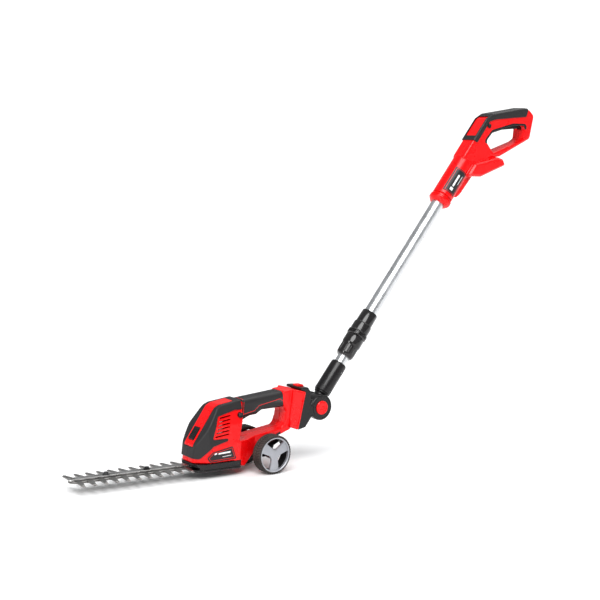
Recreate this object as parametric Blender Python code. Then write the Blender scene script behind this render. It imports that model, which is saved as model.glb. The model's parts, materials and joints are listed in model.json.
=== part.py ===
"""Cordless shrub trimmer on a wheeled, tilting telescopic pole.

The tool is drawn standing on its wheels, blade towards -X, tool's left side towards -Y, +Z up.
Sizes are in millimetres; the mesh helpers turn them into Blender's metres.  Every piece hangs
from the empty tool_frame, which puts the centre of the trimmer's own grip at the world origin.
"""

import math

import bmesh
import bpy
from mathutils import Matrix, Vector

MM = 0.001

# ---- clearances -------------------------------------------------------------------------------
GAP = 0.3            # between two pieces that touch or slide on each other
SEAM = 0.3           # between the left and the right half of a casing

# ---- wheels -----------------------------------------------------------------------------------
WHEEL_RADIUS = 34.0
TYRE_THICKNESS = 3.2
WHEEL_INNER_FACE = 30.0      # half the clear width between the wheels
WHEEL_WIDTH = 22.0
AXLE_RADIUS = 4.0

# ---- trimmer body -----------------------------------------------------------------------------
BODY_HALF_WIDTH = 31.0
BODY_WALL = 3.0
SKIN = 1.8                   # soft panels moulded over the nose
STRIP_HALF_WIDTH = 12.5
BAR_HALF_WIDTH = 18.5
FLOOR_HEIGHT = 27.0          # underside of the body, above the blade unit
GRIP_HALF_WIDTH = 17.0
GRIP_SKIN = 2.5
GRIP_REAR_X = 48.5
FLANGE_HALF_WIDTH = 25.0

# ---- drive ------------------------------------------------------------------------------------
SPINDLE_X = -112.0
PINION_TEETH = 10
GEAR_TEETH = 38
GEAR_MODULE = 1.0
MOTOR_RADIUS = 16.0
MOTOR_LENGTH = 41.0
SPINDLE_RADIUS = 4.0
CRANK_THROW = 4.0
CRANK_RADIUS = 5.5

# ---- blade unit -------------------------------------------------------------------------------
BASE_BOTTOM = 13.0
BASE_HALF_WIDTH = 31.0
TOOTH_PITCH = 20.0
TEETH = 11
TOOTH_REACH = 35.0           # centre line to tooth tip
SPINE_HALF_WIDTH = 12.0
BLADE_THICKNESS = 1.8
BLADE_ROOT_X = -142.0
BLADE_STROKE = 2 * CRANK_THROW

# ---- pole, measured along its axis from the tilt pivot ----------------------------------------
PIVOT_X = 119.0
PIVOT_Z = 101.0
POLE_TILT = 53.0             # degrees above the horizontal
HUB_RADIUS = 23.0
HUB_HALF_WIDTH = 24.0
KNUCKLE_HALF_WIDTH = 11.7
TILT_BUTTON_RADIUS = 12.5
PIN_RADIUS = 4.0
TUBE_RADIUS = 10.5           # inner tube
TUBE_WALL = 1.2
SLEEVE_RADIUS = 15.2
SLEEVE_START = 22.0
SLEEVE_END = 91.0
LOCK_START = 106.0
LOCK_LENGTH = 97.0
OUTER_TUBE_END = 480.0
TUBE_INSERTION = 22.0        # outer tube inside the upper handle and its collar
COLLAR_START = OUTER_TUBE_END - TUBE_INSERTION
RETRACTED_OVERLAP = 288.0    # inner tube inside the outer tube with the pole pushed in

# ---- upper handle -----------------------------------------------------------------------------
BARREL_RADIUS = 20.0
HANDLE_HALF_WIDTH = 16.0
HANDLE_WALL = 2.6
RAIL_HALF_WIDTH = 27.0


# ---- scene and materials ----------------------------------------------------------------------
for old in list(bpy.data.objects):
    bpy.data.objects.remove(old, do_unlink=True)


def finish(name, colour, roughness, metallic=0.0):
    material = bpy.data.materials.new(name)
    material.use_nodes = True
    shader = material.node_tree.nodes["Principled BSDF"]
    shader.inputs["Base Color"].default_value = (*colour, 1.0)
    shader.inputs["Roughness"].default_value = roughness
    shader.inputs["Metallic"].default_value = metallic
    material.diffuse_color = (*colour, 1.0)
    return material


RED = finish("red_plastic", (0.80, 0.01, 0.01), 0.32)
SOFT = finish("soft_grip", (0.05, 0.05, 0.055), 0.62)
BLACK = finish("black_plastic", (0.02, 0.02, 0.022), 0.30)
SILVER = finish("silver_paint", (0.55, 0.56, 0.58), 0.35, 0.6)
TYRE = finish("tyre_rubber", (0.03, 0.027, 0.025), 0.75)
ALUMINIUM = finish("aluminium", (0.75, 0.76, 0.77), 0.30, 1.0)
STEEL = finish("steel", (0.55, 0.55, 0.56), 0.30, 1.0)
BRASS = finish("brass", (0.75, 0.55, 0.22), 0.35, 1.0)
LABEL = finish("label_film", (0.03, 0.03, 0.03), 0.45)


# ---- mesh helpers -----------------------------------------------------------------------------
def empty(name, place, turn=(0.0, 0.0, 0.0), parent=None):
    holder = bpy.data.objects.new(name, None)
    holder.location = Vector(place) * MM
    holder.rotation_euler = turn
    holder.parent = parent
    bpy.context.scene.collection.objects.link(holder)
    return holder


def solid(name, mesh_data):
    """An object made from a bmesh whose coordinates are in millimetres."""
    bmesh.ops.recalc_face_normals(mesh_data, faces=mesh_data.faces)
    bmesh.ops.scale(mesh_data, vec=(MM, MM, MM), verts=mesh_data.verts)
    mesh = bpy.data.meshes.new(name)
    mesh_data.to_mesh(mesh)
    mesh_data.free()
    thing = bpy.data.objects.new(name, mesh)
    bpy.context.scene.collection.objects.link(thing)
    return thing


def grown(outline, distance):
    """The outline with every side moved outwards by distance."""
    count = len(outline)
    area = sum(
        outline[i][0] * outline[(i + 1) % count][1] - outline[(i + 1) % count][0] * outline[i][1]
        for i in range(count)
    )
    turn = 1.0 if area > 0 else -1.0
    moved = []
    for i in range(count):
        before = Vector(outline[i - 1])
        here = Vector(outline[i])
        after = Vector(outline[(i + 1) % count])
        first = (here - before).normalized()
        second = (after - here).normalized()
        normal_one = Vector((first.y, -first.x)) * turn
        normal_two = Vector((second.y, -second.x)) * turn
        middle = (normal_one + normal_two).normalized()
        moved.append(tuple(here + middle * distance / max(middle.dot(normal_one), 0.3)))
    return moved


def rounded(outline, radius, steps=3):
    """The outline with each corner replaced by an arc."""
    points = []
    count = len(outline)
    for i in range(count):
        here = Vector(outline[i])
        to_before = Vector(outline[i - 1]) - here
        to_after = Vector(outline[(i + 1) % count]) - here
        half_angle = to_before.angle(to_after) / 2
        reach = radius / math.tan(half_angle)
        reach = min(reach, 0.49 * to_before.length, 0.49 * to_after.length)
        size = reach * math.tan(half_angle)
        middle = (to_before.normalized() + to_after.normalized()).normalized()
        centre = here + middle * size / math.sin(half_angle)
        start = here + to_before.normalized() * reach - centre
        stop = here + to_after.normalized() * reach - centre
        sweep = start.angle_signed(stop)
        for step in range(steps + 1):
            turned = start.copy()
            turned.rotate(Matrix.Rotation(-sweep * step / steps, 2))
            points.append(tuple(centre + turned))
    return points


def prism(name, outline, low, high, along="Y", rim=0.0, rim_steps=2):
    """A closed outline extruded between two planes.

    along is the axis of the extrusion: an outline is (x, z) along Y, (x, y) along Z and
    (y, z) along X.  rim rounds the edges of the face that lies further from the zero plane.
    """
    place = {
        "Y": lambda a, b, h: (a, h, b),
        "Z": lambda a, b, h: (a, b, h),
        "X": lambda a, b, h: (h, a, b),
    }[along]
    levels = [(0.0, low), (0.0, high)]
    if rim > 0:
        near, far = (low, high) if abs(high) > abs(low) else (high, low)
        outwards = 1 if far > near else -1
        levels = [(0.0, near)]
        for step in range(rim_steps + 1):
            angle = math.radians(90 * step / rim_steps)
            inset = rim * (1 - math.cos(angle))
            levels.append((inset, far - outwards * rim * (1 - math.sin(angle))))
    data = bmesh.new()
    rings = []
    for inset, height in levels:
        ring_outline = grown(outline, -inset) if inset > 0 else outline
        rings.append([data.verts.new(place(a, b, height)) for a, b in ring_outline])
    count = len(outline)
    for one, two in zip(rings, rings[1:]):
        for i in range(count):
            j = (i + 1) % count
            data.faces.new((one[i], one[j], two[j], two[i]))
    data.faces.new(rings[0])
    data.faces.new(rings[-1])
    return solid(name, data)


def turned(name, profile, sides=24, start=0.0):
    """A ring or a disc turned round Z from a closed profile of (radius, height) points."""
    data = bmesh.new()
    rings = []
    for radius, height in profile:
        if radius < 1e-6:
            rings.append([data.verts.new((0, 0, height))])
            continue
        ring = []
        for i in range(sides):
            angle = start + 2 * math.pi * i / sides
            ring.append(data.verts.new((radius * math.cos(angle), radius * math.sin(angle), height)))
        rings.append(ring)
    for lower, upper in zip(rings, rings[1:] + rings[:1]):
        for i in range(sides):
            j = (i + 1) % sides
            if len(lower) == 1 and len(upper) == 1:
                break
            if len(lower) == 1:
                data.faces.new((lower[0], upper[j], upper[i]))
            elif len(upper) == 1:
                data.faces.new((lower[i], lower[j], upper[0]))
            else:
                data.faces.new((lower[i], lower[j], upper[j], upper[i]))
    return solid(name, data)


def rod(name, radius, low, high, sides=18):
    return turned(name, [(0, low), (radius, low), (radius, high), (0, high)], sides)


def tube(name, outer, inner, low, high, sides=24):
    return turned(name, [(outer, low), (outer, high), (inner, high), (inner, low)], sides)


def block(name, low, high):
    outline = [(low[0], low[2]), (high[0], low[2]), (high[0], high[2]), (low[0], high[2])]
    return prism(name, outline, low[1], high[1])


def put(thing, place=(0, 0, 0), turn=None):
    """Moves a piece's own mesh, so that the object's origin stays where it is."""
    matrix = Matrix.Translation(Vector(place) * MM)
    if turn:
        matrix = matrix @ turn.to_4x4()
    thing.data.transform(matrix)
    return thing


ALONG_Y = Matrix.Rotation(math.radians(-90), 3, "X")     # turns +Z to +Y


def boolean(base, tools, operation):
    """Joins tools to base or takes them from it, and removes them."""
    for tool in tools:
        modifier = base.modifiers.new(operation.lower(), "BOOLEAN")
        modifier.operation = operation
        modifier.object = tool
    bpy.context.view_layer.update()
    graph = bpy.context.evaluated_depsgraph_get()
    mesh = bpy.data.meshes.new_from_object(base.evaluated_get(graph))
    base.modifiers.clear()
    base.data = mesh
    for tool in tools:
        bpy.data.objects.remove(tool, do_unlink=True)
    return base


def join(base, *tools):
    return boolean(base, tools, "UNION")


def cut(base, *tools):
    return boolean(base, tools, "DIFFERENCE")


def keep(base, *tools):
    return boolean(base, tools, "INTERSECT")


def mirrored(name, thing):
    """A copy of the piece for the other side of the tool."""
    mesh = thing.data.copy()
    mesh.transform(Matrix.Scale(-1, 4, (0, 1, 0)))
    mesh.flip_normals()
    copy = bpy.data.objects.new(name, mesh)
    bpy.context.scene.collection.objects.link(copy)
    return copy


def publish(thing, name, material, parent, origin=(0, 0, 0), flat=35.0):
    """Gives a finished piece its name, material, parent, origin and shading."""
    put(thing, [-value for value in origin])
    thing.location = Vector(origin) * MM
    thing.name = name
    thing.data.name = name
    thing.data.materials.clear()
    thing.data.materials.append(material)
    thing.parent = parent
    thing.data.shade_smooth()
    thing.data.set_sharp_from_angle(angle=math.radians(flat))
    return thing


# ---- frames -----------------------------------------------------------------------------------
AXLE_HEIGHT = WHEEL_RADIUS
GRIP_CENTRE = (-2.0, 0.0, 118.0)
tool_frame = empty("tool_frame", [-value for value in GRIP_CENTRE])


# ---- body outlines, seen from the tool's left: x towards the pole, z up -----------------------
NOSE_TIP_X = -145.5
BODY_REAR_X = -52.0
nose_side = [
    (NOSE_TIP_X, FLOOR_HEIGHT),
    (BODY_REAR_X - 4, FLOOR_HEIGHT),
    (BODY_REAR_X - 8, 62),
    (BODY_REAR_X, 98),
    (BODY_REAR_X + 1, 127),
    (-95, 120.5),
    (-103, 116.5),
    (-141.5, 58),
]
nose_plan = [
    (NOSE_TIP_X, STRIP_HALF_WIDTH + 4),
    (-133, BODY_HALF_WIDTH - 6),
    (-120, BODY_HALF_WIDTH),
    (BODY_REAR_X + 4, BODY_HALF_WIDTH),
]
nose_section = [
    (BODY_HALF_WIDTH, FLOOR_HEIGHT),
    (BODY_HALF_WIDTH, 56),
    (BODY_HALF_WIDTH - 3, 90),
    (BODY_HALF_WIDTH - 8, 110),
    (STRIP_HALF_WIDTH + 3, 128),
]


def nose(name, grow, inner_edge=-SEAM / 2):
    """The left half of the nose, with all of its outer faces moved out by grow."""
    side = prism(name, grown(nose_side, grow), -BODY_HALF_WIDTH - 20, inner_edge)
    plan_half = [(x, -y) for x, y in nose_plan]
    plan = plan_half + [(plan_half[-1][0], 20), (plan_half[0][0], 20)]
    section_half = [(-y, z) for y, z in nose_section]
    section = section_half + [(20, section_half[-1][1]), (20, section_half[0][1])]
    across = prism("plan", grown(plan, grow), -10, 150, along="Z")
    along = prism("section", grown(section, grow), -200, 0, along="X")
    return keep(side, across, along)


def grip_top(x):
    return 132.0 + 0.102 * x


def grip_outline(inset, front, rear):
    """The grip's side outline, with the top and underside moved in by inset."""
    return [
        (front, 99.8 + 0.08 * front + inset),
        (-16 - 0.4 * inset, 98.5 + inset),
        (-6 - 0.4 * inset, 105.5 + inset),
        (rear, 105.7 + 0.03 * rear + inset),
        (rear, grip_top(rear) - inset),
        (front, grip_top(front) - inset),
    ]


TAIL_FOOT_X = -55.0
bar_side = [
    (-72, FLOOR_HEIGHT),
    (TAIL_FOOT_X, FLOOR_HEIGHT),
    (TAIL_FOOT_X, 16.5),
    (-46, 15),
    (-24, 32),
    (-8, 46),
    (28, 58),
    (54, 67),
    (56, 77),
    (33, 71),
    (-39, 60),
    (-72, 60),
]
bar_plan = [
    (-74, BODY_HALF_WIDTH),
    (TAIL_FOOT_X - 3, BODY_HALF_WIDTH),
    (-22, BAR_HALF_WIDTH),
    (60, BAR_HALF_WIDTH),
]
web_side = [(36, 136), (58, 138), (52, 68), (40, 66), (33, 70.5), (42, 79), (45, 99), (38, 112)]

# the face that the adapter plate lies on leans back at its top
FACE_FOOT = Vector((69.0, 65.0))
FACE_HEAD = Vector((82.0, 132.5))
face_up = (FACE_HEAD - FACE_FOOT).normalized()
face_out = Vector((face_up.y, -face_up.x))
FACE_LENGTH = (FACE_HEAD - FACE_FOOT).length


def on_face(out, up):
    """A point of the side view, given from the foot of the leaning face."""
    return tuple(FACE_FOOT + face_out * out + face_up * up)


flange_side = [on_face(0, 0), on_face(0, FACE_LENGTH), (54, 139), (49.5, 72)]


# ---- trimmer casing ---------------------------------------------------------------------------
RAIL_Y = FLANGE_HALF_WIDTH - 6.5
RAIL_THICKNESS = 3.0
RAIL_DEPTH = 5.0
LOCKOFF_X = -59.0
LOCKOFF_Z = 104.0
LOCKOFF_RADIUS = 4.5
TRIGGER_FRONT_X = -46.0
TRIGGER_REAR_X = -11.0
TRIGGER_HALF_WIDTH = 6.0
BUTTON_LENGTH = 24.0
BUTTON_HALF_WIDTH = 8.0
front_foot = Vector(nose_side[-1])
front_head = Vector(nose_side[-2])
front_up = (front_head - front_foot).normalized()
BUTTON_CENTRE = front_foot + front_up * 18.5
front_out = Vector((-front_up.y, front_up.x))


def on_front(out, up):
    """A point of the side view, given from the release button's centre on the sloping front."""
    return tuple(BUTTON_CENTRE + front_out * out + front_up * up)


def release_slot(name, gap):
    half = BUTTON_LENGTH / 2 + gap
    outline = [on_front(-12, -half), on_front(12, -half), on_front(12, half), on_front(-12, half)]
    return prism(name, outline, -BUTTON_HALF_WIDTH - gap, BUTTON_HALF_WIDTH + gap)


def trigger_slot(name):
    return block(
        name,
        (TRIGGER_FRONT_X - 1.5, -TRIGGER_HALF_WIDTH - GAP, 80),
        (TRIGGER_REAR_X + 4, TRIGGER_HALF_WIDTH + GAP, 111),
    )


def cross_hole(name, radius, x, z, reach=60):
    return put(rod(name, radius, -reach, reach), (x, 0, z), ALONG_Y)


def casing():
    """The left half of the trimmer's own casing."""
    core = grip_outline(GRIP_SKIN + GAP, BODY_REAR_X - 8, 50)
    half = nose("casing", 0)
    bar = prism("bar", bar_side, -BODY_HALF_WIDTH - 5, -SEAM / 2)
    plan = [(x, -y) for x, y in bar_plan] + [(60, 5), (-74, 5)]
    keep(bar, prism("bar_plan", plan, 0, 100, along="Z"))
    grip = prism("grip", core, -SEAM / 2, -GRIP_HALF_WIDTH + GRIP_SKIN + GAP, rim=5.5)
    web = prism("web", web_side, -SEAM / 2, -BAR_HALF_WIDTH, rim=3)
    flange = prism("flange", rounded(flange_side, 2), -SEAM / 2, -FLANGE_HALF_WIDTH, rim=1.5)
    join(half, bar, grip, web, flange)

    hollow = nose("hollow", -BODY_WALL, 1)
    grip_hollow = prism(
        "grip_hollow",
        grip_outline(GRIP_SKIN + GAP + 2.2, BODY_REAR_X - 14, 52),
        1,
        -GRIP_HALF_WIDTH + GRIP_SKIN + 2.5 + GAP,
        rim=3.5,
    )
    socket = [on_face(1, 12), on_face(1, 56), on_face(-12, 56), on_face(-12, 12)]
    contact_socket = prism("contact_socket", socket, 1, -15.5)
    groove = [
        on_face(1, 5 - GAP),
        on_face(1, FACE_LENGTH - 8 + GAP),
        on_face(-RAIL_DEPTH - GAP, FACE_LENGTH - 8 + GAP),
        on_face(-RAIL_DEPTH - GAP, 5 - GAP),
    ]
    rail_groove = prism("rail_groove", groove, -RAIL_Y + GAP, -RAIL_Y - RAIL_THICKNESS - GAP)
    coupling_hole = put(rod("coupling_hole", 13.5, 10, 40), (SPINDLE_X, 0, 0))
    cut(half, hollow, grip_hollow)
    cut(
        half,
        contact_socket,
        rail_groove,
        coupling_hole,
        trigger_slot("trigger_slot"),
        release_slot("release_slot", GAP),
        cross_hole("lockoff_hole", LOCKOFF_RADIUS + GAP, LOCKOFF_X, LOCKOFF_Z),
    )
    slot_height = 3.0
    for row in range(5):
        low = 70.0 + row * 7.2
        lean = (low - 66) * 0.35
        vent = [(-111 + lean, low), (-84 + lean * 0.45, low + 3.5)]
        outline = vent + [(x, z + slot_height) for x, z in reversed(vent)]
        cut(half, prism("vent", outline, -BODY_HALF_WIDTH - 5, -BODY_HALF_WIDTH + 12))
    return half


casing_left = casing()
publish(mirrored("casing_right", casing_left), "casing_right", RED, tool_frame)
publish(casing_left, "casing_left", RED, tool_frame)


# ---- soft panels, red strip, grip covers ------------------------------------------------------
soft_region = [
    (-170, 38),
    (-137, 35),
    (-115, 56),
    (-85, 63),
    (-85, 67),
    (-116, 67),
    (-104, 105),
    (-69, 113),
    (BODY_REAR_X - 1.5, 113),
    (BODY_REAR_X - 1.5, 140),
    (-170, 140),
]
strip_region = [(-165, 57), (-125, 52), (-93, 98), (-67, 104), (-67, 145), (-165, 145)]


def nose_skin(name, thickness):
    return cut(nose(name, thickness + GAP), nose("inside", GAP, 1))


def soft_panel():
    panel = nose_skin("soft_panel", SKIN)
    keep(panel, prism("region", soft_region, -60, 0))
    cut(
        panel,
        prism("strip_room", grown(strip_region, GAP), -STRIP_HALF_WIDTH - GAP, 5),
        cross_hole("lockoff_room", LOCKOFF_RADIUS + 2, LOCKOFF_X, LOCKOFF_Z),
    )
    return panel


panel_left = soft_panel()
publish(mirrored("soft_panel_right", panel_left), "soft_panel_right", SOFT, tool_frame)
publish(panel_left, "soft_panel_left", SOFT, tool_frame)

strip_half = cut(nose("strip_half", SKIN + 0.4 + GAP, 0.5), nose("inside", GAP, 1))
join(strip_half, mirrored("strip_other", strip_half))
keep(strip_half, prism("region", strip_region, -STRIP_HALF_WIDTH, STRIP_HALF_WIDTH))
cut(strip_half, release_slot("release_room", GAP))
publish(strip_half, "nose_strip", RED, tool_frame)


def grip_cover():
    front = BODY_REAR_X + 2.5
    outline = grip_outline(0, front, GRIP_REAR_X)
    cover = prism("grip_cover", outline, -SEAM / 2, -GRIP_HALF_WIDTH, rim=8)
    inner = grip_outline(GRIP_SKIN, front - 20, 70)
    room = prism("grip_room", inner, 5, -GRIP_HALF_WIDTH + GRIP_SKIN, rim=3)
    web_room = prism("web_room", grown(web_side, GAP), 5, -BAR_HALF_WIDTH - GAP, rim=3)
    cut(cover, room, web_room, trigger_slot("trigger_room"))
    return cover


cover_left = grip_cover()
publish(mirrored("grip_cover_right", cover_left), "grip_cover_right", SOFT, tool_frame)
publish(cover_left, "grip_cover_left", SOFT, tool_frame)

label_outline = [(-126, 37), (-115, 46), (-76, 53), (-67, 31), (-120, 29.5)]
for side, name in ((-1, "name_plate_left"), (1, "name_plate_right")):
    face = side * (BODY_HALF_WIDTH + GAP)
    plate = prism(name, label_outline, face, face + side * 0.8)
    publish(plate, name, LABEL, tool_frame)


# ---- buttons and trigger of the trimmer -------------------------------------------------------
button_side = [
    on_front(-8, -BUTTON_LENGTH / 2),
    on_front(SKIN + 1.9, -BUTTON_LENGTH / 2),
    on_front(SKIN + 1.9, BUTTON_LENGTH / 2),
    on_front(-8, BUTTON_LENGTH / 2),
]
release_button = prism("release_button", button_side, -BUTTON_HALF_WIDTH, BUTTON_HALF_WIDTH)
button_origin = (BUTTON_CENTRE.x, 0, BUTTON_CENTRE.y)
publish(release_button, "blade_release_button", BLACK, tool_frame, button_origin)

LOCKOFF_REACH = BODY_HALF_WIDTH - 1.5
lockoff = turned(
    "lockoff",
    [
        (0, -LOCKOFF_REACH),
        (LOCKOFF_RADIUS - 1, -LOCKOFF_REACH),
        (LOCKOFF_RADIUS, -LOCKOFF_REACH + 1),
        (LOCKOFF_RADIUS, LOCKOFF_REACH - 1),
        (LOCKOFF_RADIUS - 1, LOCKOFF_REACH),
        (0, LOCKOFF_REACH),
    ],
    20,
)
put(lockoff, (LOCKOFF_X, 0, LOCKOFF_Z), ALONG_Y)
publish(lockoff, "lockoff_pin", BLACK, tool_frame, (LOCKOFF_X, 0, LOCKOFF_Z))

TRIGGER_PIVOT = (TRIGGER_REAR_X - 1.0, 0.0, 106.0)
trigger_outline = [
    (TRIGGER_FRONT_X, 87),
    (-30, 94.5),
    (-15, 99.5),
    (TRIGGER_REAR_X + 2, 104),
    (TRIGGER_REAR_X + 1, 108),
    (TRIGGER_REAR_X - 4, 109),
    (-30, 103.5),
    (TRIGGER_FRONT_X + 2, 101),
]
trigger = prism(
    "trigger", trigger_outline, -TRIGGER_HALF_WIDTH, TRIGGER_HALF_WIDTH
)
publish(trigger, "trimmer_trigger", SOFT, tool_frame, TRIGGER_PIVOT)

main_switch = block("main_switch", (-42, -6.5, 112), (-16, 6.5, 121))
publish(main_switch, "main_switch", BLACK, tool_frame)
contact_side = [on_face(-0.5, 13), on_face(-0.5, 55), on_face(-11, 55), on_face(-11, 13)]
contact_block = prism("contact_block", contact_side, -15, 15)
publish(contact_block, "contact_block", BLACK, tool_frame)


# ---- gearbox and motor ------------------------------------------------------------------------
PINION_PITCH_RADIUS = GEAR_MODULE * PINION_TEETH / 2
GEAR_PITCH_RADIUS = GEAR_MODULE * GEAR_TEETH / 2
MOTOR_X = SPINDLE_X + PINION_PITCH_RADIUS + GEAR_PITCH_RADIUS
GEAR_LOW = 42.0
GEAR_HIGH = 48.0
PLATE_LOW = 49.0
PLATE_HIGH = 53.0


def gear_outline(teeth, first_angle):
    """Straight-sided teeth, thin enough to run with backlash."""
    pitch_radius = GEAR_MODULE * teeth / 2
    step = 2 * math.pi / teeth
    points = []
    for tooth in range(teeth):
        middle = first_angle + tooth * step
        for radius, share in (
            (pitch_radius - 1.15 * GEAR_MODULE, -0.30),
            (pitch_radius + 0.75 * GEAR_MODULE, -0.11),
            (pitch_radius + 0.75 * GEAR_MODULE, 0.11),
            (pitch_radius - 1.15 * GEAR_MODULE, 0.30),
        ):
            angle = middle + share * step
            points.append((radius * math.cos(angle), radius * math.sin(angle)))
    return points


def dog_outline(radius):
    """A hexagon, for the drive dog and the socket that it drops into."""
    return [
        (radius * math.cos(math.radians(60 * i)), radius * math.sin(math.radians(60 * i)))
        for i in range(6)
    ]


DOG_RADIUS = 5.5
DOG_LOW = 24.0
HUB_TOP = 33.0

pinion = prism(
    "pinion", gear_outline(PINION_TEETH, math.pi / PINION_TEETH), GEAR_LOW, GEAR_HIGH, along="Z"
)
join(pinion, rod("shaft", 1.6, GEAR_LOW + 1, PLATE_HIGH + 12, 12))
put(pinion, (MOTOR_X, 0, 0))
publish(pinion, "motor_pinion", STEEL, tool_frame, (MOTOR_X, 0, GEAR_LOW))

gear = prism("gear", gear_outline(GEAR_TEETH, 0.0), GEAR_LOW, GEAR_HIGH, along="Z")
join(
    gear,
    rod("spindle", SPINDLE_RADIUS, GEAR_LOW - 4, PLATE_HIGH + 2, 20),
    prism("dog", dog_outline(DOG_RADIUS), DOG_LOW, GEAR_LOW + 1, along="Z"),
)
put(gear, (SPINDLE_X, 0, 0))
publish(gear, "drive_gear", BRASS, tool_frame, (SPINDLE_X, 0, GEAR_LOW))

plate_outline = rounded(
    [(SPINDLE_X - 16, -17), (MOTOR_X + 15, -17), (MOTOR_X + 15, 17), (SPINDLE_X - 16, 17)], 8
)
gear_plate = prism("gear_plate", plate_outline, PLATE_LOW, PLATE_HIGH, along="Z")
cut(
    gear_plate,
    put(rod("spindle_bore", SPINDLE_RADIUS + GAP, 0, 100, 20), (SPINDLE_X, 0, 0)),
    put(rod("shaft_bore", 4.0, 0, 100, 20), (MOTOR_X, 0, 0)),
)
publish(gear_plate, "gearbox_plate", ALUMINIUM, tool_frame)

MOTOR_LOW = PLATE_HIGH + GAP
motor = turned(
    "motor",
    [
        (1.6 + GAP, MOTOR_LOW),
        (MOTOR_RADIUS, MOTOR_LOW),
        (MOTOR_RADIUS, MOTOR_LOW + MOTOR_LENGTH),
        (6, MOTOR_LOW + MOTOR_LENGTH),
        (6, MOTOR_LOW + MOTOR_LENGTH + 3),
        (0, MOTOR_LOW + MOTOR_LENGTH + 3),
        (0, MOTOR_LOW + 14),
        (1.6 + GAP, MOTOR_LOW + 14),
    ],
    24,
)
put(motor, (MOTOR_X, 0, 0))
publish(motor, "drive_motor", STEEL, tool_frame)


# ---- blade unit -------------------------------------------------------------------------------
LOWER_BLADE_Z = BASE_BOTTOM + 4.0
UPPER_BLADE_Z = LOWER_BLADE_Z + BLADE_THICKNESS + GAP
GUIDE_Z = UPPER_BLADE_Z + BLADE_THICKNESS + GAP
BASE_TOP = FLOOR_HEIGHT - GAP
BASE_REAR_X = TAIL_FOOT_X - GAP - 0.4
base_plan = [
    (-145, 17),
    (-145, -17),
    (-140, -26),
    (-131, -BASE_HALF_WIDTH),
    (BASE_REAR_X, -BASE_HALF_WIDTH),
    (BASE_REAR_X, BASE_HALF_WIDTH),
    (-131, BASE_HALF_WIDTH),
    (-140, 26),
]
CRANK_REACH = CRANK_THROW + CRANK_RADIUS
SLOT_CLEAR = 0.5
YOKE_RIM = 4.0
YOKE_HALF_WIDTH = CRANK_REACH + SLOT_CLEAR + YOKE_RIM
POCKET_HALF_WIDTH = YOKE_HALF_WIDTH + 1.5
NECK_HALF_WIDTH = 9.0

base_plate = prism("base_plate", base_plan, BASE_BOTTOM, LOWER_BLADE_Z - GAP, along="Z", rim=0)
bearing_bore = put(rod("bearing_bore", SPINDLE_RADIUS + GAP, 0, 50, 20), (SPINDLE_X, 0, 0))
cut(base_plate, bearing_bore)
publish(base_plate, "blade_unit_base", BLACK, tool_frame)

base_cover = prism("base_cover", base_plan, LOWER_BLADE_Z, BASE_TOP, along="Z")
POCKET_FRONT_X = SPINDLE_X - CRANK_REACH - YOKE_RIM - BLADE_STROKE - 3
POCKET_REAR_X = SPINDLE_X + CRANK_REACH + YOKE_RIM + BLADE_STROKE + 3
MOUTH_REAR_X = BLADE_ROOT_X + 5.0
pocket = block(
    "pocket",
    (POCKET_FRONT_X, -POCKET_HALF_WIDTH, 0),
    (POCKET_REAR_X, POCKET_HALF_WIDTH, GUIDE_Z),
)
mouth = block("mouth", (-170, -50, 0), (MOUTH_REAR_X, 50, GUIDE_Z))
throat = block(
    "throat",
    (MOUTH_REAR_X - 1, -SPINE_HALF_WIDTH - 1.5, 0),
    (POCKET_FRONT_X + 1, SPINE_HALF_WIDTH + 1.5, GUIDE_Z),
)
CRANK_HUB_RADIUS = 9.0
hub_bore = put(rod("hub_bore", CRANK_HUB_RADIUS + GAP, 10, 60), (SPINDLE_X, 0, 0))
cut(base_cover, pocket, mouth, throat, hub_bore)
GUIDE_HALF_WIDTH = 7.0
GUIDE_THICKNESS = 2.4
guide_room = block(
    "guide_room",
    (-170, -GUIDE_HALF_WIDTH - GAP, GUIDE_Z - 1),
    (-138 + GAP, GUIDE_HALF_WIDTH + GAP, GUIDE_Z + GUIDE_THICKNESS + GAP),
)
cut(base_cover, guide_room)
publish(base_cover, "blade_unit_cover", BLACK, tool_frame)


def crank():
    """The eccentric that drives both blades, with a hexagon socket for the drive dog."""
    foot = rod("crank", SPINDLE_RADIUS, BASE_BOTTOM + 0.2, LOWER_BLADE_Z + 0.5, 20)
    lower = put(
        rod("lower_lobe", CRANK_RADIUS, LOWER_BLADE_Z - 0.1, UPPER_BLADE_Z - GAP / 2, 20),
        (CRANK_THROW, 0, 0),
    )
    upper = put(
        rod("upper_lobe", CRANK_RADIUS, UPPER_BLADE_Z - GAP / 2 - 0.2, GUIDE_Z, 20),
        (-CRANK_THROW, 0, 0),
    )
    hub = rod("hub", CRANK_HUB_RADIUS, GUIDE_Z - 0.1, HUB_TOP)
    join(foot, lower, upper, hub)
    cut(foot, prism("socket", dog_outline(DOG_RADIUS + GAP), DOG_LOW - GAP, HUB_TOP + 5, along="Z"))
    return put(foot, (SPINDLE_X, 0, 0))


publish(crank(), "crank_hub", STEEL, tool_frame, (SPINDLE_X, 0, GUIDE_Z))


def tooth(x, side):
    """One tooth: a leaning finger with a rounded tip."""
    root = 5.0
    tip = 2.6
    lean = -4.0
    points = [(x + root, side * (SPINE_HALF_WIDTH - 2)), (x + root, side * SPINE_HALF_WIDTH)]
    for step in range(4):
        angle = math.radians(60 * step)
        points.append(
            (
                x + lean + tip * math.cos(angle),
                side * (TOOTH_REACH - tip + tip * math.sin(angle)),
            )
        )
    points += [(x - root, side * SPINE_HALF_WIDTH), (x - root, side * (SPINE_HALF_WIDTH - 2))]
    return points


TOOTH_ROOM = 9.0             # from the root of the blade to the middle of its last tooth


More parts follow.
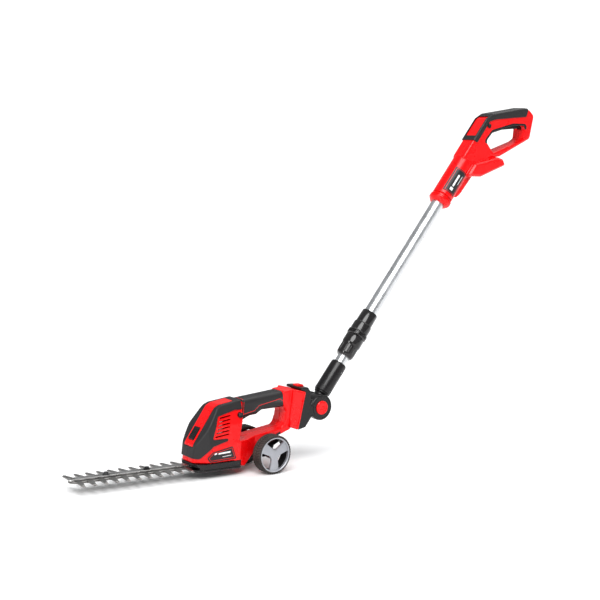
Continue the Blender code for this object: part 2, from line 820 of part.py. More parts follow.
def comb_outline(shift, tip_room):
    """The plan of one blade: a spine with teeth along both sides."""
    last = BLADE_ROOT_X - TOOTH_ROOM + shift
    front = last - (TEETH - 1) * TOOTH_PITCH - tip_room
    rear = BLADE_ROOT_X + shift
    left = []
    for i in range(TEETH):
        left += tooth(last - i * TOOTH_PITCH, -1)[1:-1]
    right = [(x, -y) for x, y in reversed(left)]
    nose_end = [(front, -5), (front, 5)]
    neck = [(rear, NECK_HALF_WIDTH), (rear, -NECK_HALF_WIDTH)]
    return left + nose_end + right + neck


BOLT_RADIUS = 2.5
BOLT_XS = (-298.0, -223.0)


def blade(name, shift, low, direction, tip_room):
    """A comb with its neck and the slotted yoke that the crank turns in."""
    high = low + BLADE_THICKNESS
    comb = prism(name, comb_outline(shift, tip_room), low, high, along="Z")
    front = SPINDLE_X - CRANK_REACH - SLOT_CLEAR - (BLADE_STROKE if direction > 0 else 0)
    rear = SPINDLE_X + CRANK_REACH + SLOT_CLEAR + (BLADE_STROKE if direction < 0 else 0)
    neck = block(
        "neck",
        (BLADE_ROOT_X + shift - 3, -NECK_HALF_WIDTH, low),
        (front - 1, NECK_HALF_WIDTH, high),
    )
    yoke = block(
        "yoke",
        (front - YOKE_RIM, -YOKE_HALF_WIDTH, low),
        (rear + YOKE_RIM, YOKE_HALF_WIDTH, high),
    )
    join(comb, neck, yoke)
    half = CRANK_REACH + SLOT_CLEAR
    cut(comb, block("yoke_slot", (front, -half, low - 1), (rear, half, high + 1)))
    ahead = BLADE_STROKE if direction > 0 else 0
    behind = BLADE_STROKE if direction < 0 else 0
    for x in BOLT_XS:
        slot = block(
            "bolt_slot",
            (x - BOLT_RADIUS - SLOT_CLEAR - ahead, -BOLT_RADIUS - SLOT_CLEAR, low - 1),
            (x + BOLT_RADIUS + SLOT_CLEAR + behind, BOLT_RADIUS + SLOT_CLEAR, high + 1),
        )
        cut(comb, slot)
    return comb


upper_blade = blade("upper_blade", -1.0, UPPER_BLADE_Z, 1, 10)
publish(upper_blade, "upper_blade", STEEL, tool_frame, (SPINDLE_X, 0, UPPER_BLADE_Z))
lower_blade = blade("lower_blade", 1.0, LOWER_BLADE_Z, -1, 14)
publish(lower_blade, "lower_blade", STEEL, tool_frame, (SPINDLE_X, 0, LOWER_BLADE_Z))

GUIDE_FRONT_X = BLADE_ROOT_X - TOOTH_ROOM - (TEETH - 1) * TOOTH_PITCH - 15
guide_plan = rounded(
    [
        (GUIDE_FRONT_X, -GUIDE_HALF_WIDTH),
        (-138, -GUIDE_HALF_WIDTH),
        (-138, GUIDE_HALF_WIDTH),
        (GUIDE_FRONT_X, GUIDE_HALF_WIDTH),
    ],
    4,
)
blade_guide = prism("blade_guide", guide_plan, GUIDE_Z, GUIDE_Z + GUIDE_THICKNESS, along="Z")
for x in BOLT_XS:
    cut(blade_guide, put(rod("bolt_bore", BOLT_RADIUS + GAP, 0, 60, 16), (x, 0, 0)))
publish(blade_guide, "blade_guide", STEEL, tool_frame)

for number, x in enumerate(BOLT_XS, 1):
    bolt = rod("bolt", BOLT_RADIUS, LOWER_BLADE_Z - GAP - 0.5, GUIDE_Z + GUIDE_THICKNESS + 1, 16)
    head = rod("head", 5.0, LOWER_BLADE_Z - GAP - 2, LOWER_BLADE_Z - GAP, 16)
    nut_low = GUIDE_Z + GUIDE_THICKNESS + GAP
    nut = prism("nut", dog_outline(4.6), nut_low, nut_low + 4, along="Z")
    join(bolt, head, nut)
    put(bolt, (x, 0, 0))
    publish(bolt, f"blade_bolt_{number}", STEEL, tool_frame)


# ---- wheels -----------------------------------------------------------------------------------
HUB_BORE = AXLE_RADIUS + GAP
RIM_RADIUS = WHEEL_RADIUS - TYRE_THICKNESS
RIM_WALL = 3.0
TREAD_CHAMFER = 1.8          # chamfer on both edges of the tread
WEB_THICKNESS = 4.0
SPOKES = 3
SPOKE_HALF_WIDTH = 5.5       # at the rim
SPOKE_ROOT_HALF_WIDTH = 8.5  # at the hub


def spoked_rim():
    """Silver rim with a bore boss and three flat spokes, flush with the wheel's outer face."""
    inner = WHEEL_INNER_FACE + 1.0
    outer = WHEEL_INNER_FACE + WHEEL_WIDTH
    rim = tube("rim", RIM_RADIUS - GAP, RIM_RADIUS - RIM_WALL, inner, outer, 36)
    boss = tube("boss", AXLE_RADIUS + 4, HUB_BORE, inner, outer - 1.5, 32)
    join(rim, boss)
    for i in range(SPOKES):
        angle = math.radians(270 + 360 / SPOKES * i)
        direction = Vector((math.cos(angle), math.sin(angle)))
        sideways = Vector((-direction.y, direction.x))
        near = direction * (AXLE_RADIUS + 1.5)
        far = direction * (RIM_RADIUS - RIM_WALL / 2)
        outline = [
            tuple(near - sideways * SPOKE_ROOT_HALF_WIDTH),
            tuple(far - sideways * SPOKE_HALF_WIDTH),
            tuple(far + sideways * SPOKE_HALF_WIDTH),
            tuple(near + sideways * SPOKE_ROOT_HALF_WIDTH),
        ]
        spoke = prism("spoke", outline, outer - 0.6 - WEB_THICKNESS, outer - 0.6, along="Z")
        join(rim, spoke)
    cut(rim, rod("bore", HUB_BORE, inner - 5, outer - 3, 32))
    return rim


def place_wheel(thing, side):
    """Turns a wheel piece, drawn along +Z from the tool's middle, out to its side."""
    matrix = Matrix.Rotation(math.radians(90 if side < 0 else -90), 3, "X")
    return put(thing, (0, 0, AXLE_HEIGHT), matrix)


for side, word in ((-1, "left"), (1, "right")):
    tyre_profile = [
        (RIM_RADIUS, WHEEL_INNER_FACE),
        (WHEEL_RADIUS - TREAD_CHAMFER, WHEEL_INNER_FACE),
        (WHEEL_RADIUS, WHEEL_INNER_FACE + TREAD_CHAMFER),
        (WHEEL_RADIUS, WHEEL_INNER_FACE + WHEEL_WIDTH - TREAD_CHAMFER),
        (WHEEL_RADIUS - TREAD_CHAMFER, WHEEL_INNER_FACE + WHEEL_WIDTH),
        (RIM_RADIUS, WHEEL_INNER_FACE + WHEEL_WIDTH),
    ]
    wheel_centre = (0, side * (WHEEL_INNER_FACE + WHEEL_WIDTH / 2), AXLE_HEIGHT)
    tyre = place_wheel(turned("tyre", tyre_profile, 36), side)
    publish(tyre, f"tyre_{word}", TYRE, tool_frame, wheel_centre)
    rim = place_wheel(spoked_rim(), side)
    publish(rim, f"wheel_{word}", SILVER, tool_frame, wheel_centre)
    clip_low = WHEEL_INNER_FACE - 1.7
    clip = tube("clip", AXLE_RADIUS + 2.5, AXLE_RADIUS - 0.5 + GAP, clip_low, clip_low + 1.2, 20)
    publish(place_wheel(clip, side), f"axle_clip_{word}", STEEL, tool_frame)

axle_half = WHEEL_INNER_FACE + WHEEL_WIDTH - 4
groove_low = WHEEL_INNER_FACE - 1.7 - 0.2
groove_high = groove_low + 1.6
axle_end = [
    (AXLE_RADIUS, groove_high),
    (AXLE_RADIUS, axle_half),
    (0, axle_half),
]
axle_profile = (
    [(0, -axle_half), (AXLE_RADIUS, -axle_half), (AXLE_RADIUS, -groove_high)]
    + [(AXLE_RADIUS - 0.5, -groove_high), (AXLE_RADIUS - 0.5, -groove_low)]
    + [(AXLE_RADIUS, -groove_low), (AXLE_RADIUS, groove_low)]
    + [(AXLE_RADIUS - 0.5, groove_low), (AXLE_RADIUS - 0.5, groove_high)]
    + axle_end
)
axle = put(turned("axle", axle_profile, 24), (0, 0, AXLE_HEIGHT), ALONG_Y)
publish(axle, "wheel_axle", STEEL, tool_frame)

CARRIER_HALF_WIDTH = WHEEL_INNER_FACE - 3.0
carrier_side = [
    (-8.5, 45.3),
    (28, 57.5),
    (33, 57.5),
    (33, 53),
    (14, 44),
    (10, AXLE_HEIGHT - AXLE_RADIUS - 4),
    (-10, AXLE_HEIGHT - AXLE_RADIUS - 4),
    (-13, 41),
]
carrier = prism("carrier", carrier_side, -CARRIER_HALF_WIDTH, CARRIER_HALF_WIDTH)
axle_bore = put(rod("axle_bore", AXLE_RADIUS + GAP, -60, 60), (0, 0, AXLE_HEIGHT), ALONG_Y)
cut(carrier, axle_bore)
publish(carrier, "wheel_carrier", BLACK, tool_frame)


# ---- adapter plate ----------------------------------------------------------------------------
ADAPTER_HALF_WIDTH = 22.0
adapter_side = [
    on_face(GAP, -0.5),
    on_face(GAP, FACE_LENGTH + GAP),
    (72, 135.4),
    (72, 140),
    (88, 139.5),
    (94, 131),
    (98, 85),
    (86, 68.5),
]
LATCH_X = 82.0
LATCH_HALF_LENGTH = 6.5
LATCH_HALF_WIDTH = 7.0
LATCH_TRAVEL = 2.0
LATCH_STEM_X = 87.0
LATCH_STEM_HALF = 3.0
LATCH_FOOT = 126.0
CHEEK_INNER = KNUCKLE_HALF_WIDTH + GAP


def adapter():
    """Plate with two rails for the casing's grooves and two cheeks for the tilt pivot."""
    plate = prism("adapter", adapter_side, -ADAPTER_HALF_WIDTH, ADAPTER_HALF_WIDTH)
    for side in (-1, 1):
        rail = prism(
            "rail",
            [on_face(GAP + 1, 5), on_face(GAP + 1, FACE_LENGTH - 8)]
            + [on_face(-RAIL_DEPTH, FACE_LENGTH - 8), on_face(-RAIL_DEPTH, 5)],
            side * RAIL_Y,
            side * (RAIL_Y + RAIL_THICKNESS),
        )
        join(plate, rail)
        cheek = rod("cheek", HUB_RADIUS, CHEEK_INNER - 1, HUB_HALF_WIDTH, 30)
        put(cheek, (PIVOT_X, 0, PIVOT_Z), Matrix.Rotation(math.radians(-90 * side), 3, "X"))
        arm = block(
            "arm",
            (90, CHEEK_INNER - 2, PIVOT_Z - 15),
            (PIVOT_X - 8, ADAPTER_HALF_WIDTH - 1, PIVOT_Z + 15),
        )
        if side < 0:
            arm = put(arm, turn=Matrix.Rotation(math.pi, 3, "X"))
            put(arm, (0, 0, 2 * PIVOT_Z))
        join(plate, cheek, arm)
    knuckle_room = put(
        rod("knuckle_room", HUB_RADIUS + 1.5, -CHEEK_INNER, CHEEK_INNER, 30),
        (PIVOT_X, 0, PIVOT_Z),
        ALONG_Y,
    )
    button_bore = put(
        rod("button_bore", TILT_BUTTON_RADIUS + GAP, -HUB_HALF_WIDTH - 5, -CHEEK_INNER - 3),
        (PIVOT_X, 0, PIVOT_Z),
        ALONG_Y,
    )
    pin_bore = put(
        rod("pin_bore", PIN_RADIUS + GAP, -HUB_HALF_WIDTH, HUB_HALF_WIDTH + 5),
        (PIVOT_X, 0, PIVOT_Z),
        ALONG_Y,
    )
    latch_room = block(
        "latch_room",
        (LATCH_X - LATCH_HALF_LENGTH - GAP, -LATCH_HALF_WIDTH - GAP, 130),
        (LATCH_X + LATCH_HALF_LENGTH + GAP, LATCH_HALF_WIDTH + GAP, 150),
    )
    stem_well = block(
        "stem_well",
        (LATCH_STEM_X - LATCH_STEM_HALF - 1, -LATCH_STEM_HALF - 1, 118),
        (LATCH_STEM_X + LATCH_STEM_HALF + 1, LATCH_STEM_HALF + 1, 131),
    )
    contact_room = prism(
        "contact_room",
        [on_face(-1, 11), on_face(8, 11), on_face(8, 44), on_face(-1, 44)],
        -14,
        14,
    )
    cut(plate, knuckle_room, button_bore, pin_bore, latch_room, stem_well, contact_room)
    return plate


publish(adapter(), "pole_adapter", BLACK, tool_frame)

latch = block(
    "latch",
    (LATCH_X - LATCH_HALF_LENGTH, -LATCH_HALF_WIDTH, 137),
    (LATCH_X + LATCH_HALF_LENGTH, LATCH_HALF_WIDTH, 142.5),
)
latch_stem = block(
    "latch_stem",
    (LATCH_STEM_X - LATCH_STEM_HALF, -LATCH_STEM_HALF, LATCH_FOOT),
    (LATCH_X + LATCH_HALF_LENGTH, LATCH_STEM_HALF, 138),
)
join(latch, latch_stem)
publish(latch, "adapter_latch", RED, tool_frame, (LATCH_X, 0, LATCH_FOOT))

plug = prism(
    "plug",
    [on_face(0.2, 12), on_face(7.5, 12), on_face(7.5, 43), on_face(0.2, 43)],
    -13,
    13,
)
publish(plug, "adapter_contacts", BRASS, tool_frame)


def coil(name, radius, wire, turns, low, high, sides=5, steps=9):
    """A closed compression spring round Z."""
    data = bmesh.new()
    rings = []
    total = turns * steps
    for i in range(total + 1):
        angle = 2 * math.pi * i / steps
        centre = Vector((radius * math.cos(angle), radius * math.sin(angle), 0))
        centre.z = low + (high - low) * i / total
        outward = Vector((math.cos(angle), math.sin(angle), 0))
        ring = []
        for k in range(sides):
            around = 2 * math.pi * k / sides
            offset = outward * math.cos(around) + Vector((0, 0, 1)) * math.sin(around)
            ring.append(data.verts.new(centre + offset * wire))
        rings.append(ring)
    for one, two in zip(rings, rings[1:]):
        for k in range(sides):
            n = (k + 1) % sides
            data.faces.new((one[k], one[n], two[n], two[k]))
    data.faces.new(rings[0])
    data.faces.new(rings[-1])
    return solid(name, data)


spring_top = LATCH_FOOT - LATCH_TRAVEL - 0.7
latch_spring = put(coil("latch_spring", 2.6, 0.5, 3, 118.8, spring_top), (LATCH_STEM_X, 0, 0))
publish(latch_spring, "latch_spring", STEEL, tool_frame)


# ---- pole frame: local Z runs up the pole, local X points back and down -----------------------
pole_frame = empty(
    "pole_frame",
    (PIVOT_X, 0, PIVOT_Z),
    (0, math.radians(90 - POLE_TILT), 0),
    tool_frame,
)

pivot_frame = empty("pivot_frame", (PIVOT_X, 0, PIVOT_Z), parent=tool_frame)

knuckle = rod("knuckle", HUB_RADIUS - 1.5, -KNUCKLE_HALF_WIDTH, KNUCKLE_HALF_WIDTH, 30)
put(knuckle, turn=ALONG_Y)
neck = rod("neck", KNUCKLE_HALF_WIDTH - 0.3, 10, SLEEVE_START + 3, 32)
spigot = rod("spigot", TUBE_RADIUS, HUB_RADIUS + 4, SLEEVE_START + 20, 32)
shoulder = turned(
    "shoulder",
    [
        (0, HUB_RADIUS - 4),
        (KNUCKLE_HALF_WIDTH - 0.7, HUB_RADIUS + 0.5),
        (SLEEVE_RADIUS - 1.5, HUB_RADIUS + 3),
        (SLEEVE_RADIUS - 1.5, HUB_RADIUS + 5),
        (0, HUB_RADIUS + 5),
    ],
)
SLEEVE_LOW = HUB_RADIUS + 5 + GAP
join(knuckle, neck, shoulder, spigot)
cut(knuckle, put(rod("pin_hole", PIN_RADIUS + GAP, -40, 40), turn=ALONG_Y))
publish(knuckle, "tilt_knuckle", BLACK, pole_frame)

pin_low = -CHEEK_INNER - 2.5
pin = turned(
    "pin",
    [
        (0, pin_low),
        (PIN_RADIUS, pin_low),
        (PIN_RADIUS, HUB_HALF_WIDTH + GAP),
        (7, HUB_HALF_WIDTH + GAP),
        (7, HUB_HALF_WIDTH + 3.5),
        (0, HUB_HALF_WIDTH + 3.5),
    ],
)
publish(put(pin, turn=ALONG_Y), "tilt_pin", STEEL, pivot_frame)

TILT_BUTTON_TRAVEL = 4.0
button_face = -HUB_HALF_WIDTH - 3.0
button_inner = button_face + 8.5
tilt_button = turned(
    "tilt_button",
    [
        (0, button_face),
        (TILT_BUTTON_RADIUS - 3, button_face),
        (TILT_BUTTON_RADIUS, button_face + 2),
        (TILT_BUTTON_RADIUS, button_inner - 1),
        (TILT_BUTTON_RADIUS - 2.5, button_inner - 1),
        (TILT_BUTTON_RADIUS - 2.5, button_face + 4),
        (0, button_face + 4),
    ],
)
publish(put(tilt_button, turn=ALONG_Y), "tilt_button", RED, pivot_frame)
SPRING_GAP = 0.6
button_spring = coil(
    "button_spring",
    7.0,
    0.6,
    2,
    button_face + 4 + TILT_BUTTON_TRAVEL + SPRING_GAP + 0.2,
    -CHEEK_INNER - 3 - SPRING_GAP - 0.6,
)
publish(put(button_spring, turn=ALONG_Y), "tilt_button_spring", STEEL, pivot_frame)

SCREW_RADIUS = 1.6
SCREW_TURN = 62.0            # degrees round the pole, from its rear to the left side
tube_bore = TUBE_RADIUS + GAP
sleeve = turned(
    "sleeve",
    [
        (tube_bore, SLEEVE_LOW),
        (SLEEVE_RADIUS - 0.8, SLEEVE_LOW),
        (SLEEVE_RADIUS, SLEEVE_LOW + 1),
        (SLEEVE_RADIUS - 0.6, SLEEVE_END - 1),
        (SLEEVE_RADIUS - 1.4, SLEEVE_END),
        (tube_bore, SLEEVE_END),
    ],
    28,
)
SCREW_PLACES = (SLEEVE_START + 14.0, SLEEVE_END - 15.0)
towards_side = Matrix.Rotation(math.radians(-SCREW_TURN), 3, "Z")
screw_turn = towards_side @ Matrix.Rotation(math.radians(90), 3, "Y")
for along in SCREW_PLACES:
    hole = rod("screw_hole", SCREW_RADIUS + GAP, tube_bore - 1, SLEEVE_RADIUS + 2, 12)
    cut(sleeve, put(hole, (0, 0, along), screw_turn))
publish(sleeve, "pole_sleeve", BLACK, pole_frame)
for number, along in enumerate(SCREW_PLACES, 1):
    screw = rod("screw", SCREW_RADIUS, tube_bore + 0.2, SLEEVE_RADIUS - 1.2, 12)
    publish(put(screw, (0, 0, along), screw_turn), f"sleeve_screw_{number}", STEEL, pole_frame)

OUTER_TUBE_START = LOCK_START + 46.0
INNER_TUBE_START = SLEEVE_START + 24.0
INNER_TUBE_END = OUTER_TUBE_START + RETRACTED_OVERLAP
inner_tube = tube(
    "inner_tube", TUBE_RADIUS, TUBE_RADIUS - TUBE_WALL, INNER_TUBE_START, INNER_TUBE_END, 32
)
publish(inner_tube, "inner_tube", ALUMINIUM, pole_frame)

OUTER_RADIUS = tube_bore + TUBE_WALL
outer_tube = tube("outer_tube", OUTER_RADIUS, tube_bore, OUTER_TUBE_START, OUTER_TUBE_END, 32)
publish(outer_tube, "outer_tube", ALUMINIUM, pole_frame)

NUT_LENGTH = 43.0
COLLET_WALL = 1.9
nut_end = LOCK_START + NUT_LENGTH
nut_bore = tube_bore + COLLET_WALL + GAP
lock_nut = turned(
    "lock_nut",
    [
        (tube_bore, LOCK_START),
        (nut_bore + 1.2, LOCK_START),
        (nut_bore + 3.3, LOCK_START + 6),
        (nut_bore + 3.3, LOCK_START + 24),
        (nut_bore + 4.6, LOCK_START + 27),
        (nut_bore + 4.6, nut_end),
        (nut_bore, nut_end),
        (nut_bore, LOCK_START + 4),
        (tube_bore, LOCK_START + 4),
    ],
    28,
)
publish(lock_nut, "lock_nut", BLACK, pole_frame)

collet = tube("collet", nut_bore - GAP, tube_bore, LOCK_START + 4 + GAP, nut_end - 4, 32)
slit = block("slit", (0, -0.8, LOCK_START + 4), (30, 0.8, nut_end))
publish(cut(collet, slit), "lock_collet", BLACK, pole_frame)

body_bore = OUTER_RADIUS + GAP
lock_body = turned(
    "lock_body",
    [
        (tube_bore, nut_end + GAP),
        (body_bore + 5.2, nut_end + GAP),
        (body_bore + 6.6, nut_end + 2),
        (body_bore + 6.6, nut_end + 9),
        (body_bore + 5.0, nut_end + 11),
        (body_bore + 5.0, nut_end + 27),
        (body_bore + 3.0, nut_end + 29),
        (body_bore + 2.6, LOCK_START + LOCK_LENGTH),
        (body_bore, LOCK_START + LOCK_LENGTH),
        (body_bore, OUTER_TUBE_START - GAP),
        (tube_bore, OUTER_TUBE_START - GAP),
    ],
    28,
)
publish(lock_body, "lock_body", BLACK, pole_frame)


# ---- upper handle, drawn in the pole frame: (back and down, along the pole) -------------------
collar_bore = OUTER_RADIUS + GAP
collar = turned(
    "collar",
    [
        (collar_bore, COLLAR_START),
        (BARREL_RADIUS - 3, COLLAR_START),
        (BARREL_RADIUS + 1.5, COLLAR_START + 6),
        (BARREL_RADIUS + 1.5, COLLAR_START + 13),
        (BARREL_RADIUS - 2, COLLAR_START + 14),
        (BARREL_RADIUS - 2, COLLAR_START + 16),
        (collar_bore, COLLAR_START + 16),
    ],
    28,
)
publish(collar, "handle_collar", RED, pole_frame)

BARREL_START = COLLAR_START + 16 + GAP
BARREL_END = BARREL_START + 86
loop_outline = [
    (-18, BARREL_START + 79),
    (-18, BARREL_START + 176),
    (-11, BARREL_START + 193),
    (49, BARREL_START + 258),
    (62, BARREL_START + 267),
    (80, BARREL_START + 267),
    (101, BARREL_START + 225),
    (59, BARREL_START + 146),
    (40, BARREL_START + 128),
    (18, BARREL_START + 79),
]
hand_hole = [
    (9, BARREL_START + 143),
    (11, BARREL_START + 168),
    (46, BARREL_START + 213),
    (73, BARREL_START + 235),
    (87, BARREL_START + 214),
    (82, BARREL_START + 202),
    (40, BARREL_START + 139),
]
rib_outline = [
    (0, BARREL_START + 16),
    (23, BARREL_START + 16),
    (27, BARREL_START + 26),
    (30, BARREL_START + 82),
    (0, BARREL_START + 82),
]
SEAT_FOOT = Vector((37, BARREL_START + 79))
SEAT_HEAD = Vector((74, BARREL_START + 137))
seat_up = (SEAT_HEAD - SEAT_FOOT).normalized()
seat_out = Vector((seat_up.y, -seat_up.x))
rail_outline = [
    (8, BARREL_START + 88),
    (8, BARREL_START + 57),
    tuple(SEAT_FOOT),
    tuple(SEAT_HEAD),
    (62, BARREL_START + 142),
    (48, BARREL_START + 136),
]


def on_seat(out, up):
    """A point of the side view, given from the foot of the battery seat."""
    return tuple(SEAT_FOOT + seat_out * out + seat_up * up)


def on_seat_box(name, low, high, half_width):
    """A block on the battery seat: low and high are (outwards, along the seat)."""
    outline = [
        on_seat(low[0], low[1]),
        on_seat(high[0], low[1]),
        on_seat(high[0], high[1]),
        on_seat(low[0], high[1]),
    ]
    return prism(name, outline, -half_width, half_width)


UPPER_LOCKOFF = (-5.0, BARREL_START + 170)
UPPER_LOCKOFF_RADIUS = 4.0
UPPER_TRIGGER_PIVOT = (76.0, BARREL_START + 236)
UPPER_TRIGGER_HALF_WIDTH = 5.5
SEAT_DEPTH = 9.0
SEAT_START = 6.0
SEAT_END = 63.0
trigger_room_outline = [
    (14, BARREL_START + 144.5),
    (-0.5, BARREL_START + 144.5),
    (-0.5, BARREL_START + 178),
    (29, BARREL_START + 226),
    (64, BARREL_START + 248),
    (82, BARREL_START + 242),
    (79, BARREL_START + 230),
    (52, BARREL_START + 208),
    (20, BARREL_START + 168),
]
upper_trigger_outline = [
    (13.5, BARREL_START + 147),
    (17, BARREL_START + 169),
    (36, BARREL_START + 194),
    (71, BARREL_START + 227),
    (77, BARREL_START + 231.5),
    (80, BARREL_START + 236),
    (77, BARREL_START + 240),
    (70, BARREL_START + 240.5),
    (38, BARREL_START + 220),
    (6.8, BARREL_START + 173),
    (7, BARREL_START + 149),
]


def half_barrel(name, radius, low, high, edge):
    """The left half of a round bar along the pole."""
    bar = rod(name, radius, low, high, 32)
    return keep(bar, block("side", (-50, -50, low - 5), (50, edge, high + 5)))


def handle_loop(name, grow, inner_edge=-SEAM / 2):
    """The left half of the handle's loop, with all of its outer faces moved out by grow."""
    outline = rounded(grown(loop_outline, grow), 6)
    return prism(name, outline, inner_edge, -HANDLE_HALF_WIDTH - grow, rim=4.5)


def handle_half():
    """The left half of the upper handle's casing."""
    half = half_barrel("handle", BARREL_RADIUS, BARREL_START, BARREL_END, -SEAM / 2)
    rib = prism("rib", rib_outline, -SEAM / 2, -11, rim=3)
    rail = prism("rail", rail_outline, -SEAM / 2, -RAIL_HALF_WIDTH, rim=4, rim_steps=1)
    join(half, handle_loop("loop", 0), rib, rail)
    cut(half, prism("hand_hole", rounded(hand_hole, 4), 5, -50))
    board_room = half_barrel(
        "board_room", BARREL_RADIUS - HANDLE_WALL, OUTER_TUBE_END + 6, BARREL_END - 4, 1
    )
    tube_seat = rod("tube_seat", collar_bore, BARREL_START - 5, OUTER_TUBE_END + 8)
    trigger_room = prism("trigger_room", trigger_room_outline, 1, -UPPER_TRIGGER_HALF_WIDTH - GAP)
    lockoff_hole = rod("lockoff_hole", UPPER_LOCKOFF_RADIUS + GAP, -60, 60, 20)
    put(lockoff_hole, (UPPER_LOCKOFF[0], 0, UPPER_LOCKOFF[1]), ALONG_Y)
    seat = on_seat_box("seat", (-SEAT_DEPTH, SEAT_START), (3, SEAT_END), RAIL_HALF_WIDTH - 5)
    cut(half, board_room, tube_seat, trigger_room, lockoff_hole, seat)
    return half


handle_left = handle_half()
publish(mirrored("handle_right", handle_left), "handle_right", RED, pole_frame)
publish(handle_left, "handle_left", RED, pole_frame)

saddle_region = [
    (-30, BARREL_START + 121),
    (-9, BARREL_START + 126),
    (-9.5, BARREL_START + 177),
    (0, BARREL_START + 190),
    (66, BARREL_START + 251),
    (78, BARREL_START + 262),
    (60, BARREL_START + 290),
    (-40, BARREL_START + 220),
]
SADDLE_SKIN = 1.6
saddle = cut(handle_loop("saddle", SADDLE_SKIN + GAP, 0.5), handle_loop("inside", GAP, 1))
keep(saddle, prism("region", saddle_region, -50, 50))
cut(
    saddle,
    block("front_window", (-40, -9, BARREL_START + 136), (-10, 9, BARREL_START + 182)),
    put(
        rod("lockoff_room", UPPER_LOCKOFF_RADIUS + 1, -60, 60, 20),
        (UPPER_LOCKOFF[0], 0, UPPER_LOCKOFF[1]),
        ALONG_Y,
    ),
)
join(saddle, mirrored("saddle_other", saddle))
publish(saddle, "handle_saddle", SOFT, pole_frame)

lever = prism(
    "lever", upper_trigger_outline, -UPPER_TRIGGER_HALF_WIDTH, UPPER_TRIGGER_HALF_WIDTH
)
lever_origin = (UPPER_TRIGGER_PIVOT[0], 0, UPPER_TRIGGER_PIVOT[1])
publish(lever, "handle_trigger", BLACK, pole_frame, lever_origin)

UPPER_LOCKOFF_REACH = HANDLE_HALF_WIDTH + 2.5
button = turned(
    "button",
    [
        (0, -UPPER_LOCKOFF_REACH),
        (UPPER_LOCKOFF_RADIUS - 1, -UPPER_LOCKOFF_REACH),
        (UPPER_LOCKOFF_RADIUS, -UPPER_LOCKOFF_REACH + 1),
        (UPPER_LOCKOFF_RADIUS, UPPER_LOCKOFF_REACH - 1),
        (UPPER_LOCKOFF_RADIUS - 1, UPPER_LOCKOFF_REACH),
        (0, UPPER_LOCKOFF_REACH),
    ],
    20,
)
put(button, (UPPER_LOCKOFF[0], 0, UPPER_LOCKOFF[1]), ALONG_Y)
lockoff_origin = (UPPER_LOCKOFF[0], 0, UPPER_LOCKOFF[1])
publish(button, "handle_lockoff_pin", BLACK, pole_frame, lockoff_origin)

board = block("board", (-3, -13, OUTER_TUBE_END + 10), (-1.4, 13, BARREL_END - 8))
chip = block("chip", (-2, -7, OUTER_TUBE_END + 22), (7, 7, OUTER_TUBE_END + 40))
publish(join(board, chip), "handle_circuit_board", LABEL, pole_frame)

seat_half = RAIL_HALF_WIDTH - 5 - GAP
seat_plate = on_seat_box(
    "seat_plate", (GAP - SEAT_DEPTH, SEAT_START + GAP), (-5.5, SEAT_END - GAP), seat_half
)
for side in (-1, 1):
    seat_rail = on_seat_box("seat_rail", (-6, SEAT_START + 4), (-0.5, SEAT_END - 4), 1.5)
    join(seat_plate, put(seat_rail, (0, side * 16, 0)))
publish(seat_plate, "battery_rail", BLACK, pole_frame)
terminals = on_seat_box("terminals", (-5.5 + GAP, 14), (-1.5, 40), 6)
publish(terminals, "battery_terminals", BRASS, pole_frame)

LABEL_HALF_WIDTH = 12.0
label = tube(
    "label",
    BARREL_RADIUS + GAP + 0.6,
    BARREL_RADIUS + GAP,
    BARREL_START + 7,
    BARREL_START + 60,
    48,
)
label_window = block(
    "label_window",
    (-LABEL_HALF_WIDTH - 5, -40, 0),
    (LABEL_HALF_WIDTH - 5, 0, BARREL_END),
)
publish(keep(label, label_window), "handle_label", LABEL, pole_frame)
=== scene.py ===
import json
import math

import bmesh
import bpy
from mathutils import Matrix, Vector


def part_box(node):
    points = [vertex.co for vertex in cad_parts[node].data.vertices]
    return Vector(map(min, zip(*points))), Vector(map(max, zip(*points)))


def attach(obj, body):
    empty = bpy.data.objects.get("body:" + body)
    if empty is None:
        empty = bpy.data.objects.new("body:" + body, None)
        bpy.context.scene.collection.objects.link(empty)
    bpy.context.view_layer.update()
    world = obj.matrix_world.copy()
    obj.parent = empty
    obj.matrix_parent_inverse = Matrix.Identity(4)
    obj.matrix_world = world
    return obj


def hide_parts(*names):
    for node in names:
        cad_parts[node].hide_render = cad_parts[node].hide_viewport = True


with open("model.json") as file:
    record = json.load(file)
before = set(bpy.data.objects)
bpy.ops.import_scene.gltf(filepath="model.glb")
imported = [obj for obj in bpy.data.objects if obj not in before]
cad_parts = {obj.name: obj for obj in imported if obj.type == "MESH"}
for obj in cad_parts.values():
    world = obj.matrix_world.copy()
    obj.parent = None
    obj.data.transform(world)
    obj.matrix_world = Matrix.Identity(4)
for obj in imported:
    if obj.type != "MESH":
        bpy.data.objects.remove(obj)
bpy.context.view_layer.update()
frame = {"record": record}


# ---- Studio -----------------------------------------------------------------------------------
# A pale floor that fades into a white room, a camera low in front of the tool's left side, and
# two soft lamps with a long strip lamp for the highlights on the black plastic.  Every section
# measures in millimetres from the ground under the axle: x to the pole, y to the right, z up.
MM = 0.001
tyre_low, tyre_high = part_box("tyre_left")
FOOT = Vector(((tyre_low[0] + tyre_high[0]) / 2, 0.0, tyre_low[2]))
ON_TOOL = Matrix.Translation(FOOT) @ Matrix.Scale(MM, 4)

